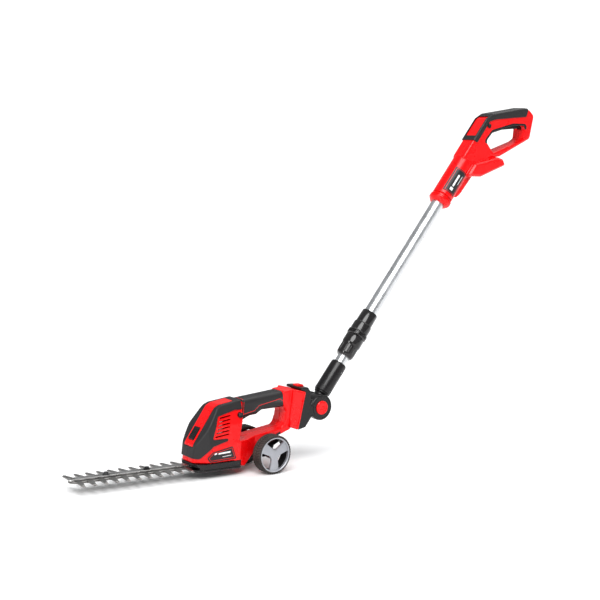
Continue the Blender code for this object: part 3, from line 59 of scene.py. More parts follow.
camera_data = bpy.data.cameras.new("camera")
camera_data.lens = 75.4
camera_data.sensor_width = 36.0
camera_data.clip_end = 60.0
camera = bpy.data.objects.new("camera", camera_data)
bpy.context.scene.collection.objects.link(camera)
camera.location = ON_TOOL @ Vector((-1262.7, -1739.0, 549.1))
aim = ON_TOOL @ Vector((76.8, 0.0, 292.8))
looking = (aim - camera.location).to_track_quat("-Z", "Y")
camera.rotation_mode = "QUATERNION"
camera.rotation_quaternion = looking @ Matrix.Rotation(math.radians(2.76), 3, "Z").to_quaternion()
bpy.context.scene.camera = camera
bpy.context.scene.view_settings.view_transform = "Standard"
bpy.context.scene.view_settings.look = "Medium High Contrast"

world = bpy.data.worlds.new("white_room")
bpy.context.scene.world = world
world.use_nodes = True
room = world.node_tree
seen = room.nodes["Background"]
seen.inputs["Color"].default_value = (1.0, 1.0, 1.0, 1.0)
seen.inputs["Strength"].default_value = 1.0
dim = room.nodes.new("ShaderNodeBackground")
dim.inputs["Color"].default_value = (0.96, 0.98, 1.0, 1.0)
dim.inputs["Strength"].default_value = 0.36
ray = room.nodes.new("ShaderNodeLightPath")
either = room.nodes.new("ShaderNodeMixShader")
room.links.new(ray.outputs["Is Camera Ray"], either.inputs[0])
room.links.new(dim.outputs[0], either.inputs[1])
room.links.new(seen.outputs[0], either.inputs[2])
room.links.new(either.outputs[0], room.nodes["World Output"].inputs["Surface"])


def lamp(name, kind, place, power, size):
    """A lamp at place, aimed at the trimmer."""
    light = bpy.data.lights.new(name, kind)
    light.energy = power
    if kind == "SUN":
        light.angle = math.radians(size)
    else:
        light.shape = "RECTANGLE"
        light.size = size
        light.size_y = 4 * size
    thing = bpy.data.objects.new(name, light)
    thing.location = place
    thing.rotation_mode = "QUATERNION"
    direction = Vector((0.1, 0.0, 0.1)) - Vector(place)
    thing.rotation_quaternion = direction.to_track_quat("-Z", "Y")
    bpy.context.scene.collection.objects.link(thing)


lamp("key_lamp", "SUN", (-1.5, -2.4, 3.4), 2.3, 42)
lamp("fill_lamp", "SUN", (2.2, 0.6, 2.6), 0.9, 50)
lamp("strip_lamp", "AREA", (-2.2, -0.6, 0.9), 16.0, 0.35)

floor_mesh = bmesh.new()
reach = 30.0
corners = [(-reach, -reach), (reach, -reach), (reach, reach), (-reach, reach)]
ground = FOOT.z - 0.0002
floor_mesh.faces.new([floor_mesh.verts.new((x, y, ground)) for x, y in corners])
floor_data = bpy.data.meshes.new("floor")
floor_mesh.to_mesh(floor_data)
floor_mesh.free()
floor = bpy.data.objects.new("floor", floor_data)
bpy.context.scene.collection.objects.link(floor)
floor_paint = bpy.data.materials.new("floor_paint")
floor_paint.use_nodes = True
floor_paint.node_tree.nodes["Principled BSDF"].inputs["Base Color"].default_value = (0.94, 0.94, 0.94, 1)
floor_paint.node_tree.nodes["Principled BSDF"].inputs["Roughness"].default_value = 0.7
floor_data.materials.append(floor_paint)


# ---- Wheels -----------------------------------------------------------------------------------
# Two hollow plastic wheels with a block-tread rubber tyre pressed on the rim and three wide flat
# spokes on the outer side.  They turn on one steel axle, held by two spring clips.
def add_node(tree, kind, values=None, **settings):
    item = tree.nodes.new(kind)
    for key, value in settings.items():
        setattr(item, key, value)
    for key, value in (values or {}).items():
        if isinstance(value, bpy.types.NodeSocket):
            tree.links.new(value, item.inputs[key])
        else:
            item.inputs[key].default_value = value
    return item


def wear_highlight_and_grain():
    group = bpy.data.node_groups.new("wear_highlight_and_grain", "ShaderNodeTree")
    for name, kind in (
        ("Place", "NodeSocketVector"),
        ("Edge", "NodeSocketFloat"),
        ("Colour", "NodeSocketColor"),
        ("Wear And Highlight Colour", "NodeSocketColor"),
        ("Highlight And Wear Amount", "NodeSocketFloat"),
        ("Grain Scale", "NodeSocketFloat"),
        ("Gloss Roughness", "NodeSocketFloat"),
        ("Unevenness", "NodeSocketFloat"),
    ):
        group.interface.new_socket(name, in_out="INPUT", socket_type=kind)
    for name, kind in (
        ("Colour", "NodeSocketColor"),
        ("Roughness", "NodeSocketFloat"),
        ("Height", "NodeSocketFloat"),
    ):
        group.interface.new_socket(name, in_out="OUTPUT", socket_type=kind)
    entry = add_node(group, "NodeGroupInput").outputs
    leave = add_node(group, "NodeGroupOutput")
    grain = add_node(
        group,
        "ShaderNodeTexNoise",
        {"Vector": entry["Place"], "Scale": entry["Grain Scale"], "Detail": 3.0},
    )
    broad = add_node(
        group,
        "ShaderNodeTexNoise",
        {"Vector": entry["Place"], "Scale": 28.0, "Detail": 4.0, "Roughness": 0.62},
    )
    stretched = add_node(
        group,
        "ShaderNodeVectorMath",
        {0: entry["Place"], 1: (60.0, 700.0, 900.0)},
        operation="MULTIPLY",
    )
    streak = add_node(
        group, "ShaderNodeTexNoise", {"Vector": stretched.outputs[0], "Scale": 1.0, "Detail": 1.0}
    )
    scratch = add_node(
        group,
        "ShaderNodeMapRange",
        {"Value": streak.outputs["Fac"], "From Min": 0.66, "From Max": 0.74},
    )
    tone = add_node(
        group,
        "ShaderNodeMapRange",
        {
            "Value": broad.outputs["Fac"],
            "From Min": 0.3,
            "From Max": 0.7,
            "To Min": -0.5,
            "To Max": 0.5,
        },
    )
    spread = add_node(
        group,
        "ShaderNodeMath",
        {0: tone.outputs[0], 1: entry["Unevenness"]},
        operation="MULTIPLY",
    )
    marked = add_node(
        group,
        "ShaderNodeMath",
        {0: scratch.outputs[0], 1: 0.07, 2: spread.outputs[0]},
        operation="MULTIPLY_ADD",
    )
    rough = add_node(
        group,
        "ShaderNodeMath",
        {0: marked.outputs[0], 1: entry["Gloss Roughness"]},
        operation="ADD",
        use_clamp=True,
    )
    # Sharp outer edges, in patches, go towards the lighter edge colour: partly edge wear, partly a painted
    # edge highlight.
    edge = add_node(
        group,
        "ShaderNodeMapRange",
        {"Value": entry["Edge"], "From Min": 0.52, "From Max": 0.62},
    )
    patchy = add_node(
        group,
        "ShaderNodeMapRange",
        {"Value": broad.outputs["Fac"], "From Min": 0.35, "From Max": 0.6},
    )
    highlight_and_wear = add_node(
        group,
        "ShaderNodeMath",
        {0: edge.outputs[0], 1: patchy.outputs[0]},
        operation="MULTIPLY",
    )
    highlight_and_wear = add_node(group, "ShaderNodeMath", {0: highlight_and_wear.outputs[0], 1: entry["Highlight And Wear Amount"]}, operation="MULTIPLY")
    shade = add_node(
        group,
        "ShaderNodeMapRange",
        {
            "Value": broad.outputs["Fac"],
            "From Min": 0.3,
            "From Max": 0.7,
            "To Min": 0.93,
            "To Max": 1.05,
        },
    )
    shaded = add_node(
        group,
        "ShaderNodeVectorMath",
        {0: entry["Colour"], "Scale": shade.outputs[0]},
        operation="SCALE",
    )
    mixed = add_node(group, "ShaderNodeMix", data_type="RGBA")
    group.links.new(highlight_and_wear.outputs[0], mixed.inputs[0])
    group.links.new(shaded.outputs[0], mixed.inputs[6])
    group.links.new(entry["Wear And Highlight Colour"], mixed.inputs[7])
    group.links.new(mixed.outputs[2], leave.inputs["Colour"])
    group.links.new(rough.outputs[0], leave.inputs["Roughness"])
    group.links.new(grain.outputs["Fac"], leave.inputs["Height"])
    return group


WEAR_AND_HIGHLIGHT = wear_highlight_and_grain()


def surface(name, colour, highlight_and_wear_colour, highlight_and_wear, grain, bump, roughness, uneven, metallic=0.0, coat=0.0):
    """A material: grain is the texture's scale, and bump its height in millimetres."""
    material = bpy.data.materials.new(name)
    material.use_nodes = True
    tree = material.node_tree
    shader = tree.nodes["Principled BSDF"]
    place = add_node(tree, "ShaderNodeTexCoord")
    shape = add_node(tree, "ShaderNodeNewGeometry")
    finish = add_node(tree, "ShaderNodeGroup", node_tree=WEAR_AND_HIGHLIGHT)
    tree.links.new(place.outputs["Object"], finish.inputs["Place"])
    tree.links.new(shape.outputs["Pointiness"], finish.inputs["Edge"])
    finish.inputs["Colour"].default_value = (*colour, 1.0)
    finish.inputs["Wear And Highlight Colour"].default_value = (*highlight_and_wear_colour, 1.0)
    finish.inputs["Highlight And Wear Amount"].default_value = highlight_and_wear
    finish.inputs["Grain Scale"].default_value = grain
    finish.inputs["Gloss Roughness"].default_value = roughness
    finish.inputs["Unevenness"].default_value = uneven
    relief = add_node(
        tree,
        "ShaderNodeBump",
        {"Height": finish.outputs["Height"], "Distance": bump * MM, "Strength": 1.0},
    )
    tree.links.new(finish.outputs["Colour"], shader.inputs["Base Color"])
    tree.links.new(finish.outputs["Roughness"], shader.inputs["Roughness"])
    tree.links.new(relief.outputs["Normal"], shader.inputs["Normal"])
    shader.inputs["Metallic"].default_value = metallic
    shader.inputs["Specular IOR Level"].default_value = 0.4
    shader.inputs["Coat Weight"].default_value = coat
    shader.inputs["Coat Roughness"].default_value = 0.12
    return material


# The second colour of each material is its lighter edge colour: edge wear and a painted edge highlight.
TYRE = surface("tyre_rubber", (0.030, 0.025, 0.023), (0.11, 0.10, 0.09), 0.6, 800, 0.09, 0.68, 0.15)
SILVER = surface(
    "silver_painted_abs", (0.40, 0.41, 0.44), (0.58, 0.59, 0.60), 0.5, 1600, 0.008, 0.34, 0.10, 0.55
)
BLACK = surface(
    "black_glass_filled",
    (0.012, 0.011, 0.012),
    (0.08, 0.08, 0.08),
    0.5,
    1100,
    0.02,
    0.28,
    0.12,
    coat=0.15,
)
STEEL = surface("zinc_plated_steel", (0.50, 0.50, 0.50), (0.7, 0.7, 0.7), 0.5, 1200, 0.01, 0.33, 0.12, 1.0)


def solid(name, data, matrix):
    """An object from a bmesh drawn in millimetres, placed by a matrix."""
    bmesh.ops.recalc_face_normals(data, faces=data.faces)
    bmesh.ops.transform(data, matrix=matrix, verts=data.verts)
    mesh = bpy.data.meshes.new(name)
    data.to_mesh(mesh)
    data.free()
    thing = bpy.data.objects.new(name, mesh)
    bpy.context.scene.collection.objects.link(thing)
    return thing


def turned(name, profile, matrix, sides=72):
    """A round piece from its closed (radius, height) profile."""
    data = bmesh.new()
    rings = []
    for radius, height in profile:
        if radius < 1e-6:
            rings.append([data.verts.new((0, 0, height))])
            continue
        ring = []
        for i in range(sides):
            angle = 2 * math.pi * i / sides
            ring.append(data.verts.new((radius * math.cos(angle), radius * math.sin(angle), height)))
        rings.append(ring)
    for lower, upper in zip(rings, rings[1:] + rings[:1]):
        if len(lower) == 1 and len(upper) == 1:
            continue
        for i in range(sides):
            j = (i + 1) % sides
            if len(lower) == 1:
                data.faces.new((lower[0], upper[j], upper[i]))
            elif len(upper) == 1:
                data.faces.new((lower[i], lower[j], upper[0]))
            else:
                data.faces.new((lower[i], lower[j], upper[j], upper[i]))
    return solid(name, data, matrix)


def grown(outline, distance):
    """The outline with every side moved outwards."""
    count = len(outline)
    area = sum(
        outline[i][0] * outline[(i + 1) % count][1] - outline[(i + 1) % count][0] * outline[i][1]
        for i in range(count)
    )
    turn = 1.0 if area > 0 else -1.0
    moved = []
    for i in range(count):
        here = Vector(outline[i])
        first = (here - Vector(outline[i - 1])).normalized()
        second = (Vector(outline[(i + 1) % count]) - here).normalized()
        normal = Vector((first.y, -first.x)) * turn
        middle = (normal + Vector((second.y, -second.x)) * turn).normalized()
        moved.append(tuple(here + middle * distance / max(middle.dot(normal), 0.3)))
    return moved


def rounded(outline, radius, steps=5):
    """The outline with each corner replaced by an arc."""
    points = []
    count = len(outline)
    for i in range(count):
        here = Vector(outline[i])
        to_before = Vector(outline[i - 1]) - here
        to_after = Vector(outline[(i + 1) % count]) - here
        half_angle = to_before.angle(to_after) / 2
        reach = radius / math.tan(half_angle)
        reach = min(reach, 0.49 * to_before.length, 0.49 * to_after.length)
        size = reach * math.tan(half_angle)
        middle = (to_before.normalized() + to_after.normalized()).normalized()
        centre = here + middle * size / math.sin(half_angle)
        start = here + to_before.normalized() * reach - centre
        stop = here + to_after.normalized() * reach - centre
        sweep = start.angle_signed(stop)
        for step in range(steps + 1):
            spoke = start.copy()
            spoke.rotate(Matrix.Rotation(-sweep * step / steps, 2))
            points.append(tuple(centre + spoke))
    return points


def cut_out(name, outline, low, high, matrix, along="Y", rim=0.0, steps=5):
    """A flat outline given a thickness, with the edge of its outer face rounded by rim."""
    place = {
        "Y": lambda a, b, h: (a, h, b),
        "Z": lambda a, b, h: (a, b, h),
        "X": lambda a, b, h: (h, a, b),
    }[along]
    levels = [(0.0, low), (0.0, high)]
    if rim > 0:
        near, far = (low, high) if abs(high) > abs(low) else (high, low)
        outwards = 1 if far > near else -1
        levels = [(0.0, near)]
        for step in range(steps + 1):
            angle = math.radians(90 * step / steps)
            inset = rim * (1 - math.cos(angle))
            levels.append((inset, far - outwards * rim * (1 - math.sin(angle))))
    data = bmesh.new()
    rings = []
    for inset, height in levels:
        ring = grown(outline, -inset) if inset > 0 else outline
        rings.append([data.verts.new(place(a, b, height)) for a, b in ring])
    count = len(outline)
    for one, two in zip(rings, rings[1:]):
        for i in range(count):
            j = (i + 1) % count
            data.faces.new((one[i], one[j], two[j], two[i]))
    data.faces.new(rings[0])
    data.faces.new(rings[-1])
    return solid(name, data, matrix)


def settle(thing):
    """Turns the piece's modifiers into its mesh."""
    bpy.context.view_layer.update()
    graph = bpy.context.evaluated_depsgraph_get()
    mesh = bpy.data.meshes.new_from_object(thing.evaluated_get(graph))
    thing.modifiers.clear()
    thing.data = mesh
    return thing


def boolean(base, tools, operation):
    for tool in tools:
        modifier = base.modifiers.new(operation.lower(), "BOOLEAN")
        modifier.operation = operation
        modifier.object = tool
    settle(base)
    for tool in tools:
        bpy.data.objects.remove(tool, do_unlink=True)
    return base


def join(base, *tools):
    return boolean(base, tools, "UNION")


def cut(base, *tools):
    return boolean(base, tools, "DIFFERENCE")


def keep(base, *tools):
    return boolean(base, tools, "INTERSECT")


def soften(thing, fine=0.8, passes=6, share=0.35):
    """Rounds every edge the way a mould does: small even faces, smoothed, then thinned out."""
    modifier = thing.modifiers.new("even", "REMESH")
    modifier.mode = "VOXEL"
    modifier.voxel_size = fine * MM
    modifier = thing.modifiers.new("smooth", "SMOOTH")
    modifier.factor = 0.5
    modifier.iterations = passes
    modifier = thing.modifiers.new("thin", "DECIMATE")
    modifier.ratio = share
    return settle(thing)


def gather(name, things):
    """Several small shapes as one piece."""
    data = bmesh.new()
    for thing in things:
        data.from_mesh(thing.data)
        bpy.data.objects.remove(thing, do_unlink=True)
    mesh = bpy.data.meshes.new(name)
    data.to_mesh(mesh)
    data.free()
    piece = bpy.data.objects.new(name, mesh)
    bpy.context.scene.collection.objects.link(piece)
    return piece


def mirrored(name, thing):
    mesh = thing.data.copy()
    mesh.transform(Matrix.Scale(-1, 4, (0, 1, 0)))
    mesh.flip_normals()
    copy = bpy.data.objects.new(name, mesh)
    bpy.context.scene.collection.objects.link(copy)
    return copy


def chamfer(thing, width, segments=2, limit=35):
    """A small rounded edge on every sharp corner."""
    modifier = thing.modifiers.new("edge", "BEVEL")
    modifier.width = width * MM
    modifier.segments = segments
    modifier.limit_method = "ANGLE"
    modifier.angle_limit = math.radians(limit)
    modifier.harden_normals = False
    return settle(thing)


def finish(thing, material, body, slot, *nodes, sharp=32):
    """Paints a piece, ties it to its body and hides the CAD nodes it stands for."""
    thing.data.materials.clear()
    thing.data.materials.append(material)
    thing.data.shade_smooth()
    thing.data.set_sharp_from_angle(angle=math.radians(sharp))
    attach(thing, body)
    if nodes:
        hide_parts(*nodes)
    return thing


WHEEL_RADIUS = 34.0
RIM_RADIUS = 30.7
WHEEL_INNER = 30.0
WHEEL_OUTER = 52.0
AXLE_HEIGHT = 34.0
BLOCKS_ROUND = 44


def wheel_side(side):
    """Places a piece drawn along +z from the tool's middle out to one side."""
    turn = Matrix.Rotation(math.radians(90 if side < 0 else -90), 4, "X")
    return ON_TOOL @ Matrix.Translation((0, 0, AXLE_HEIGHT)) @ turn


def tread_block(angle, sweep, low, high, lean, matrix):
    """One tread block: a leaning wedge that wraps over the tyre's shoulder."""
    data = bmesh.new()
    corners = []
    for radius in (WHEEL_RADIUS - 1.9, WHEEL_RADIUS - 0.4):
        narrow = 0.86 if radius > WHEEL_RADIUS - 1 else 1.0
        for height, shift in ((low, 0.0), (high, lean)):
            for edge in (-0.5, 0.5):
                turn = angle + shift + edge * sweep * narrow
                corners.append(data.verts.new((radius * math.cos(turn), radius * math.sin(turn), height)))
    for face in ((0, 1, 3, 2), (4, 5, 7, 6), (0, 1, 5, 4), (2, 3, 7, 6), (0, 2, 6, 4), (1, 3, 7, 5)):
        data.faces.new([corners[i] for i in face])
    return solid("block", data, matrix)


for side, word in ((-1, "left"), (1, "right")):
    matrix = wheel_side(side)
    carcass = turned(
        "carcass",
        [
            (RIM_RADIUS + 0.1, WHEEL_INNER + 0.2),
            (WHEEL_RADIUS - 2.0, WHEEL_INNER + 0.1),
            (WHEEL_RADIUS - 1.2, WHEEL_INNER + 0.8),
            (WHEEL_RADIUS - 0.9, WHEEL_INNER + 2.4),
            (WHEEL_RADIUS - 0.8, WHEEL_INNER + 10.2),
            (WHEEL_RADIUS - 1.4, WHEEL_INNER + 10.6),
            (WHEEL_RADIUS - 1.4, WHEEL_INNER + 11.4),
            (WHEEL_RADIUS - 0.8, WHEEL_INNER + 11.8),
            (WHEEL_RADIUS - 0.9, WHEEL_OUTER - 2.4),
            (WHEEL_RADIUS - 1.1, WHEEL_OUTER - 1.0),
            (WHEEL_RADIUS - 1.7, WHEEL_OUTER - 0.25),
            (WHEEL_RADIUS - 2.4, WHEEL_OUTER - 0.02),
            (RIM_RADIUS + 0.1, WHEEL_OUTER - 0.3),
        ],
        matrix,
        120,
    )
    lugs = [carcass]
    step = 2 * math.pi / BLOCKS_ROUND
    for i in range(BLOCKS_ROUND):
        angle = i * step
        rows = (
            (angle, WHEEL_INNER + 1.2, WHEEL_INNER + 4.6, 0.02),
            (angle + step * 0.5, WHEEL_INNER + 5.4, WHEEL_INNER + 10.0, 0.05),
            (angle, WHEEL_INNER + 12.0, WHEEL_INNER + 16.6, -0.05),
            (angle + step * 0.5, WHEEL_INNER + 17.4, WHEEL_OUTER - 1.2, -0.02),
        )
        for turn, low, high, lean in rows:
            lug = tread_block(turn, step * 0.7, low, high, lean, matrix)
            lugs.append(chamfer(lug, 0.3, 1))
    tyre = gather(f"tyre_tread_{word}", lugs)
    finish(tyre, TYRE, f"wheel_{word}", "tyre_rubber", f"tyre_{word}")

    rim = turned(
        "rim",
        [
            (RIM_RADIUS - 0.1, WHEEL_INNER + 1.0),
            (RIM_RADIUS - 0.1, WHEEL_OUTER - 0.6),
            (RIM_RADIUS - 0.5, WHEEL_OUTER - 0.1),
            (RIM_RADIUS - 1.6, WHEEL_OUTER - 0.1),
            (RIM_RADIUS - 2.2, WHEEL_OUTER - 0.8),
            (RIM_RADIUS - 2.6, WHEEL_OUTER - 3.0),
            (RIM_RADIUS - 3.2, WHEEL_INNER + 1.0),
        ],
        matrix,
        120,
    )
    disc = turned(
        "disc",
        [(0, WHEEL_OUTER - 5.6), (RIM_RADIUS - 1.5, WHEEL_OUTER - 5.6)]
        + [(RIM_RADIUS - 1.5, WHEEL_OUTER - 1.6), (0, WHEEL_OUTER - 1.2)],
        matrix,
        96,
    )
    windows = []
    for i in range(3):
        middle = math.radians(90 + 120 * i)
        arc = [middle + math.radians(a) for a in (-41, -28, -14, 0, 14, 28, 41)]
        outline = [((RIM_RADIUS - 2.7) * math.cos(a), (RIM_RADIUS - 2.7) * math.sin(a)) for a in arc]
        inner = Vector((math.cos(middle), math.sin(middle)))
        sideways = Vector((-inner.y, inner.x))
        outline += [tuple(inner * 9.5 + sideways * 3.5), tuple(inner * 9.5 - sideways * 3.5)]
        window = cut_out("window", rounded(outline, 1.6, 3), WHEEL_INNER, WHEEL_OUTER + 5, matrix, "Z")
        windows.append(window)
    boss = turned(
        "boss",
        [
            (8.5, WHEEL_INNER + 1.0), (9.0, WHEEL_OUTER - 5.0), (4.3, WHEEL_OUTER - 5.0),
            (4.3, WHEEL_INNER + 1.0),
        ],
        matrix,
    )
    cut(disc, *windows)
    chamfer(disc, 0.5, 2)
    ring = turned(
        "ring",
        [
            (RIM_RADIUS - 0.5, WHEEL_OUTER - 0.4),
            (RIM_RADIUS - 0.7, WHEEL_OUTER - 0.02),
            (RIM_RADIUS - 2.2, WHEEL_OUTER - 0.02),
            (RIM_RADIUS - 2.8, WHEEL_OUTER - 0.7),
            (RIM_RADIUS - 2.9, WHEEL_OUTER - 2.4),
            (RIM_RADIUS - 1.6, WHEEL_OUTER - 2.4),
        ],
        matrix,
        120,
    )
    face = gather(f"wheel_face_{word}", [disc, ring])
    finish(face, SILVER, f"wheel_{word}", "silver_plastic", f"wheel_{word}")
    # The inner rim and hub are black: painted shade for the dark inside of the wheel seen through the
    # windows.
    shaded_inside = gather(f"wheel_shaded_inside_{word}", [rim, boss])
    finish(shaded_inside, BLACK, f"wheel_{word}", "black_plastic", f"wheel_{word}")

    clip_low = WHEEL_INNER - 1.7
    clip = turned(
        f"spring_clip_{word}",
        [
            (6.3, clip_low + 0.1), (6.5, clip_low + 0.6), (6.3, clip_low + 1.1), (3.9, clip_low + 1.1),
            (3.9, clip_low + 0.1),
        ],
        matrix,
        40,
    )
    finish(clip, STEEL, "head", "steel", f"axle_clip_{word}")

shaft = turned(
    "axle_rod",
    [(0, -47.9), (3.4, -47.9), (3.95, -47.3), (3.95, 47.3), (3.4, 47.9), (0, 47.9)],
    wheel_side(1),
    48,
)
finish(shaft, STEEL, "head", "steel", "wheel_axle")

carrier_side = [(-8.5, 45.3), (28, 57.5), (33, 57.5), (33, 53), (14, 44), (10, 26), (-10, 26), (-13, 41)]
bracket = cut_out("axle_bracket", rounded(carrier_side, 2), -27, 27, ON_TOOL)
soften(bracket, 0.9, 4, 0.3)
finish(bracket, BLACK, "head", "black_plastic", "wheel_carrier")


# ---- Blade unit -------------------------------------------------------------------------------
# Two ground steel combs slide against each other under a stiffening bar, held by two bolts.  The
# black base below the body guides them and carries the crank.
BASE_BOTTOM = 13.0
LOWER_Z = 17.0
UPPER_Z = 19.1
GUIDE_Z = 21.2
BLADE_ROOT = -142.0
PITCH = 20.0
TEETH = 11
TOOTH_TIP = 35.0
TIP_RADIUS = 3.1
TOOTH_ROOT = 5.4
TOOTH_LEAN = 4.0
FIRST_TOOTH = 9.0
BAR_THICKNESS = 2.35
SPINE = 12.0
BOLTS = (-298.0, -223.0)
CRANK_X = -112.0
COMB_THICKNESS = 1.75


def brushed(name, colour, scale, depth, roughness, metallic=1.0):
    """A metal whose grinding marks run along one direction."""
    # The lighter edge colour: edge wear and a painted edge highlight.
    highlight_and_wear_colour = [min(1.0, channel * 1.25) for channel in colour]
    material = surface(name, colour, highlight_and_wear_colour, 0.6, 1500, 0.004, roughness, 0.16, metallic)
    tree = material.node_tree
    shader = tree.nodes["Principled BSDF"]
    place = tree.nodes["Texture Coordinate"]
    stretch = add_node(
        tree, "ShaderNodeMapping", {"Vector": place.outputs["Object"], "Scale": scale}
    )
    lines = add_node(
        tree, "ShaderNodeTexNoise", {"Vector": stretch.outputs[0], "Scale": 1.0, "Detail": 4.0}
    )
    relief = add_node(
        tree, "ShaderNodeBump", {"Height": lines.outputs["Fac"], "Distance": depth * MM}
    )
    tree.links.new(relief.outputs["Normal"], shader.inputs["Normal"])
    return material


BLADE_STEEL = brushed("ground_blade_steel", (0.36, 0.35, 0.34), (90, 2600, 2600), 0.03, 0.34)
BOLT_STEEL = surface(
    "black_oxide_steel", (0.05, 0.05, 0.052), (0.3, 0.3, 0.3), 0.5, 1000, 0.01, 0.35, 0.12, 0.8
)
BAR_STEEL = brushed("rolled_bar_steel", (0.55, 0.54, 0.53), (1500, 60, 1500), 0.02, 0.30)


def tooth(x, side):
    points = [(x + TOOTH_ROOT, side * SPINE)]
    for step in range(7):
        angle = math.radians(30 * step)
        reach = TOOTH_TIP - TIP_RADIUS + TIP_RADIUS * math.sin(angle)
        points.append((x - TOOTH_LEAN + TIP_RADIUS * math.cos(angle), side * reach))
    points.append((x - TOOTH_ROOT, side * SPINE))
    return points


def comb(name, shift, low, tip_room, slot_front, slot_rear, ground_up):
    """A blade: spine, teeth with ground edges, neck and the yoke round the crank."""
    last = BLADE_ROOT - FIRST_TOOTH + shift
    front = last - (TEETH - 1) * PITCH - tip_room
    left = []
    for i in range(TEETH):
        left += tooth(last - i * PITCH, -1)
    right = [(x, -y) for x, y in reversed(left)]
    rear = BLADE_ROOT + shift
    outline = left + [(front + 2, -7), (front, -4), (front, 4), (front + 2, 7)] + right
    outline += [(rear, 9), (rear, -9)]
    high = low + COMB_THICKNESS
    if ground_up:
        plate = cut_out(name, outline, low, high, ON_TOOL, "Z", rim=0.9, steps=1)
    else:
        turned_over = ON_TOOL @ Matrix.Rotation(math.pi, 4, "X")
        plate = cut_out(name, outline, -high, -low, turned_over, "Z", rim=0.9, steps=1)
    neck_plan = [(rear - 4, -9), (slot_front - 2, -9), (slot_front - 2, 9), (rear - 4, 9)]
    neck = cut_out("neck", neck_plan, low, high, ON_TOOL, "Z")
    ring = [(slot_front - 4, -14), (slot_rear + 4, -14), (slot_rear + 4, 14), (slot_front - 4, 14)]
    yoke = cut_out("yoke", rounded(ring, 3), low, high, ON_TOOL, "Z")
    join(plate, neck, yoke)
    slot = [(slot_front, -10), (slot_rear, -10), (slot_rear, 10), (slot_front, 10)]
    cut(plate, cut_out("slot", rounded(slot, 2), low - 2, high + 2, ON_TOOL, "Z"))
    return plate


upper = comb("upper_comb", -1.0, UPPER_Z, 10, -130.0, -102.0, True)
lower = comb("lower_comb", 1.0, LOWER_Z, 14, -122.0, -94.0, False)
for blade, ahead, behind, low in ((upper, 8, 0, UPPER_Z), (lower, 0, 8, LOWER_Z)):
    for x in BOLTS:
        slot = [(x - 3 - ahead, -3), (x + 3 + behind, -3), (x + 3 + behind, 3), (x - 3 - ahead, 3)]
        cut(blade, cut_out("bolt_slot", rounded(slot, 2.9, 4), low - 2, low + 4, ON_TOOL, "Z"))
finish(upper, BLADE_STEEL, "upper_blade", "steel", "upper_blade", sharp=20)
finish(lower, BLADE_STEEL, "lower_blade", "steel", "lower_blade", sharp=20)

tip = BLADE_ROOT - FIRST_TOOTH - (TEETH - 1) * PITCH - 15
bar_plan = [(tip, -7), (-138, -7), (-138, 7), (tip, 7)]
bar = cut_out(
    "stiffening_bar", rounded(bar_plan, 4), GUIDE_Z, GUIDE_Z + BAR_THICKNESS, ON_TOOL, "Z", rim=0.6, steps=2
)
hole = [(tip + 9 + 4.5 * math.cos(t * math.pi / 12), 2.4 * math.sin(t * math.pi / 12)) for t in range(24)]
groove = [(tip + 24, -2.2), (-150, -2.2), (-150, 2.2), (tip + 24, 2.2)]
cut(
    bar,
    cut_out("hole", hole, GUIDE_Z - 2, GUIDE_Z + 5, ON_TOOL, "Z"),
    cut_out("groove", rounded(groove, 2.1), GUIDE_Z + 1.9, GUIDE_Z + 5, ON_TOOL, "Z"),
)
finish(bar, BAR_STEEL, "head", "steel", "blade_guide", sharp=20)

for number, x in enumerate(BOLTS, 1):
    top = GUIDE_Z + 2.7
    on_bolt = ON_TOOL @ Matrix.Translation((x, 0, 0))
    shank = turned("shank", [(0, 14.8), (2.4, 14.8), (2.4, top + 1), (0, top + 1)], on_bolt, 32)
    head = turned("head", [(0, 14.75), (4.4, 14.75), (4.95, 15.3), (4.95, 16.6), (0, 16.6)], on_bolt, 40)
    washer = turned("washer", [(0, top), (5.6, top), (5.6, top + 0.7), (0, top + 0.7)], on_bolt, 40)
    hexagon = [(x + 4.3 * math.cos(i * math.pi / 3), 4.3 * math.sin(i * math.pi / 3)) for i in range(6)]
    nut = cut_out("nut", hexagon, top + 0.6, top + 3.6, ON_TOOL, "Z", rim=0.5, steps=2)
    end = turned("end", [(0, top + 3), (2.2, top + 3), (2.2, top + 3.95), (0, top + 4.0)], on_bolt, 24)
    bolt = gather(f"blade_screw_{number}", [shank, head, washer, nut, end])
    finish(bolt, BOLT_STEEL, "head", "steel", f"blade_bolt_{number}")

base_plan = [
    (-145, 17), (-145, -17), (-140, -26), (-131, -31), (-55.7, -31), (-55.7, 31), (-131, 31), (-140, 26),
]
on_crank = ON_TOOL @ Matrix.Translation((CRANK_X, 0, 0))
sole = cut_out("sole_plate", rounded(base_plan, 3), BASE_BOTTOM + 0.1, 16.6, ON_TOOL, "Z")
cut(sole, turned("bore", [(0, 0), (4.3, 0), (4.3, 60), (0, 60)], on_crank, 32))
for x in (-130, -92, -68):
    slot = [(x, -20), (x + 5, -20), (x + 5, 20), (x, 20)]
    cut(sole, cut_out("drain", rounded(slot, 2), BASE_BOTTOM - 1, BASE_BOTTOM + 1.2, ON_TOOL, "Z"))
soften(sole, 0.7, 3, 0.35)
finish(sole, BLACK, "head", "black_plastic", "blade_unit_base")

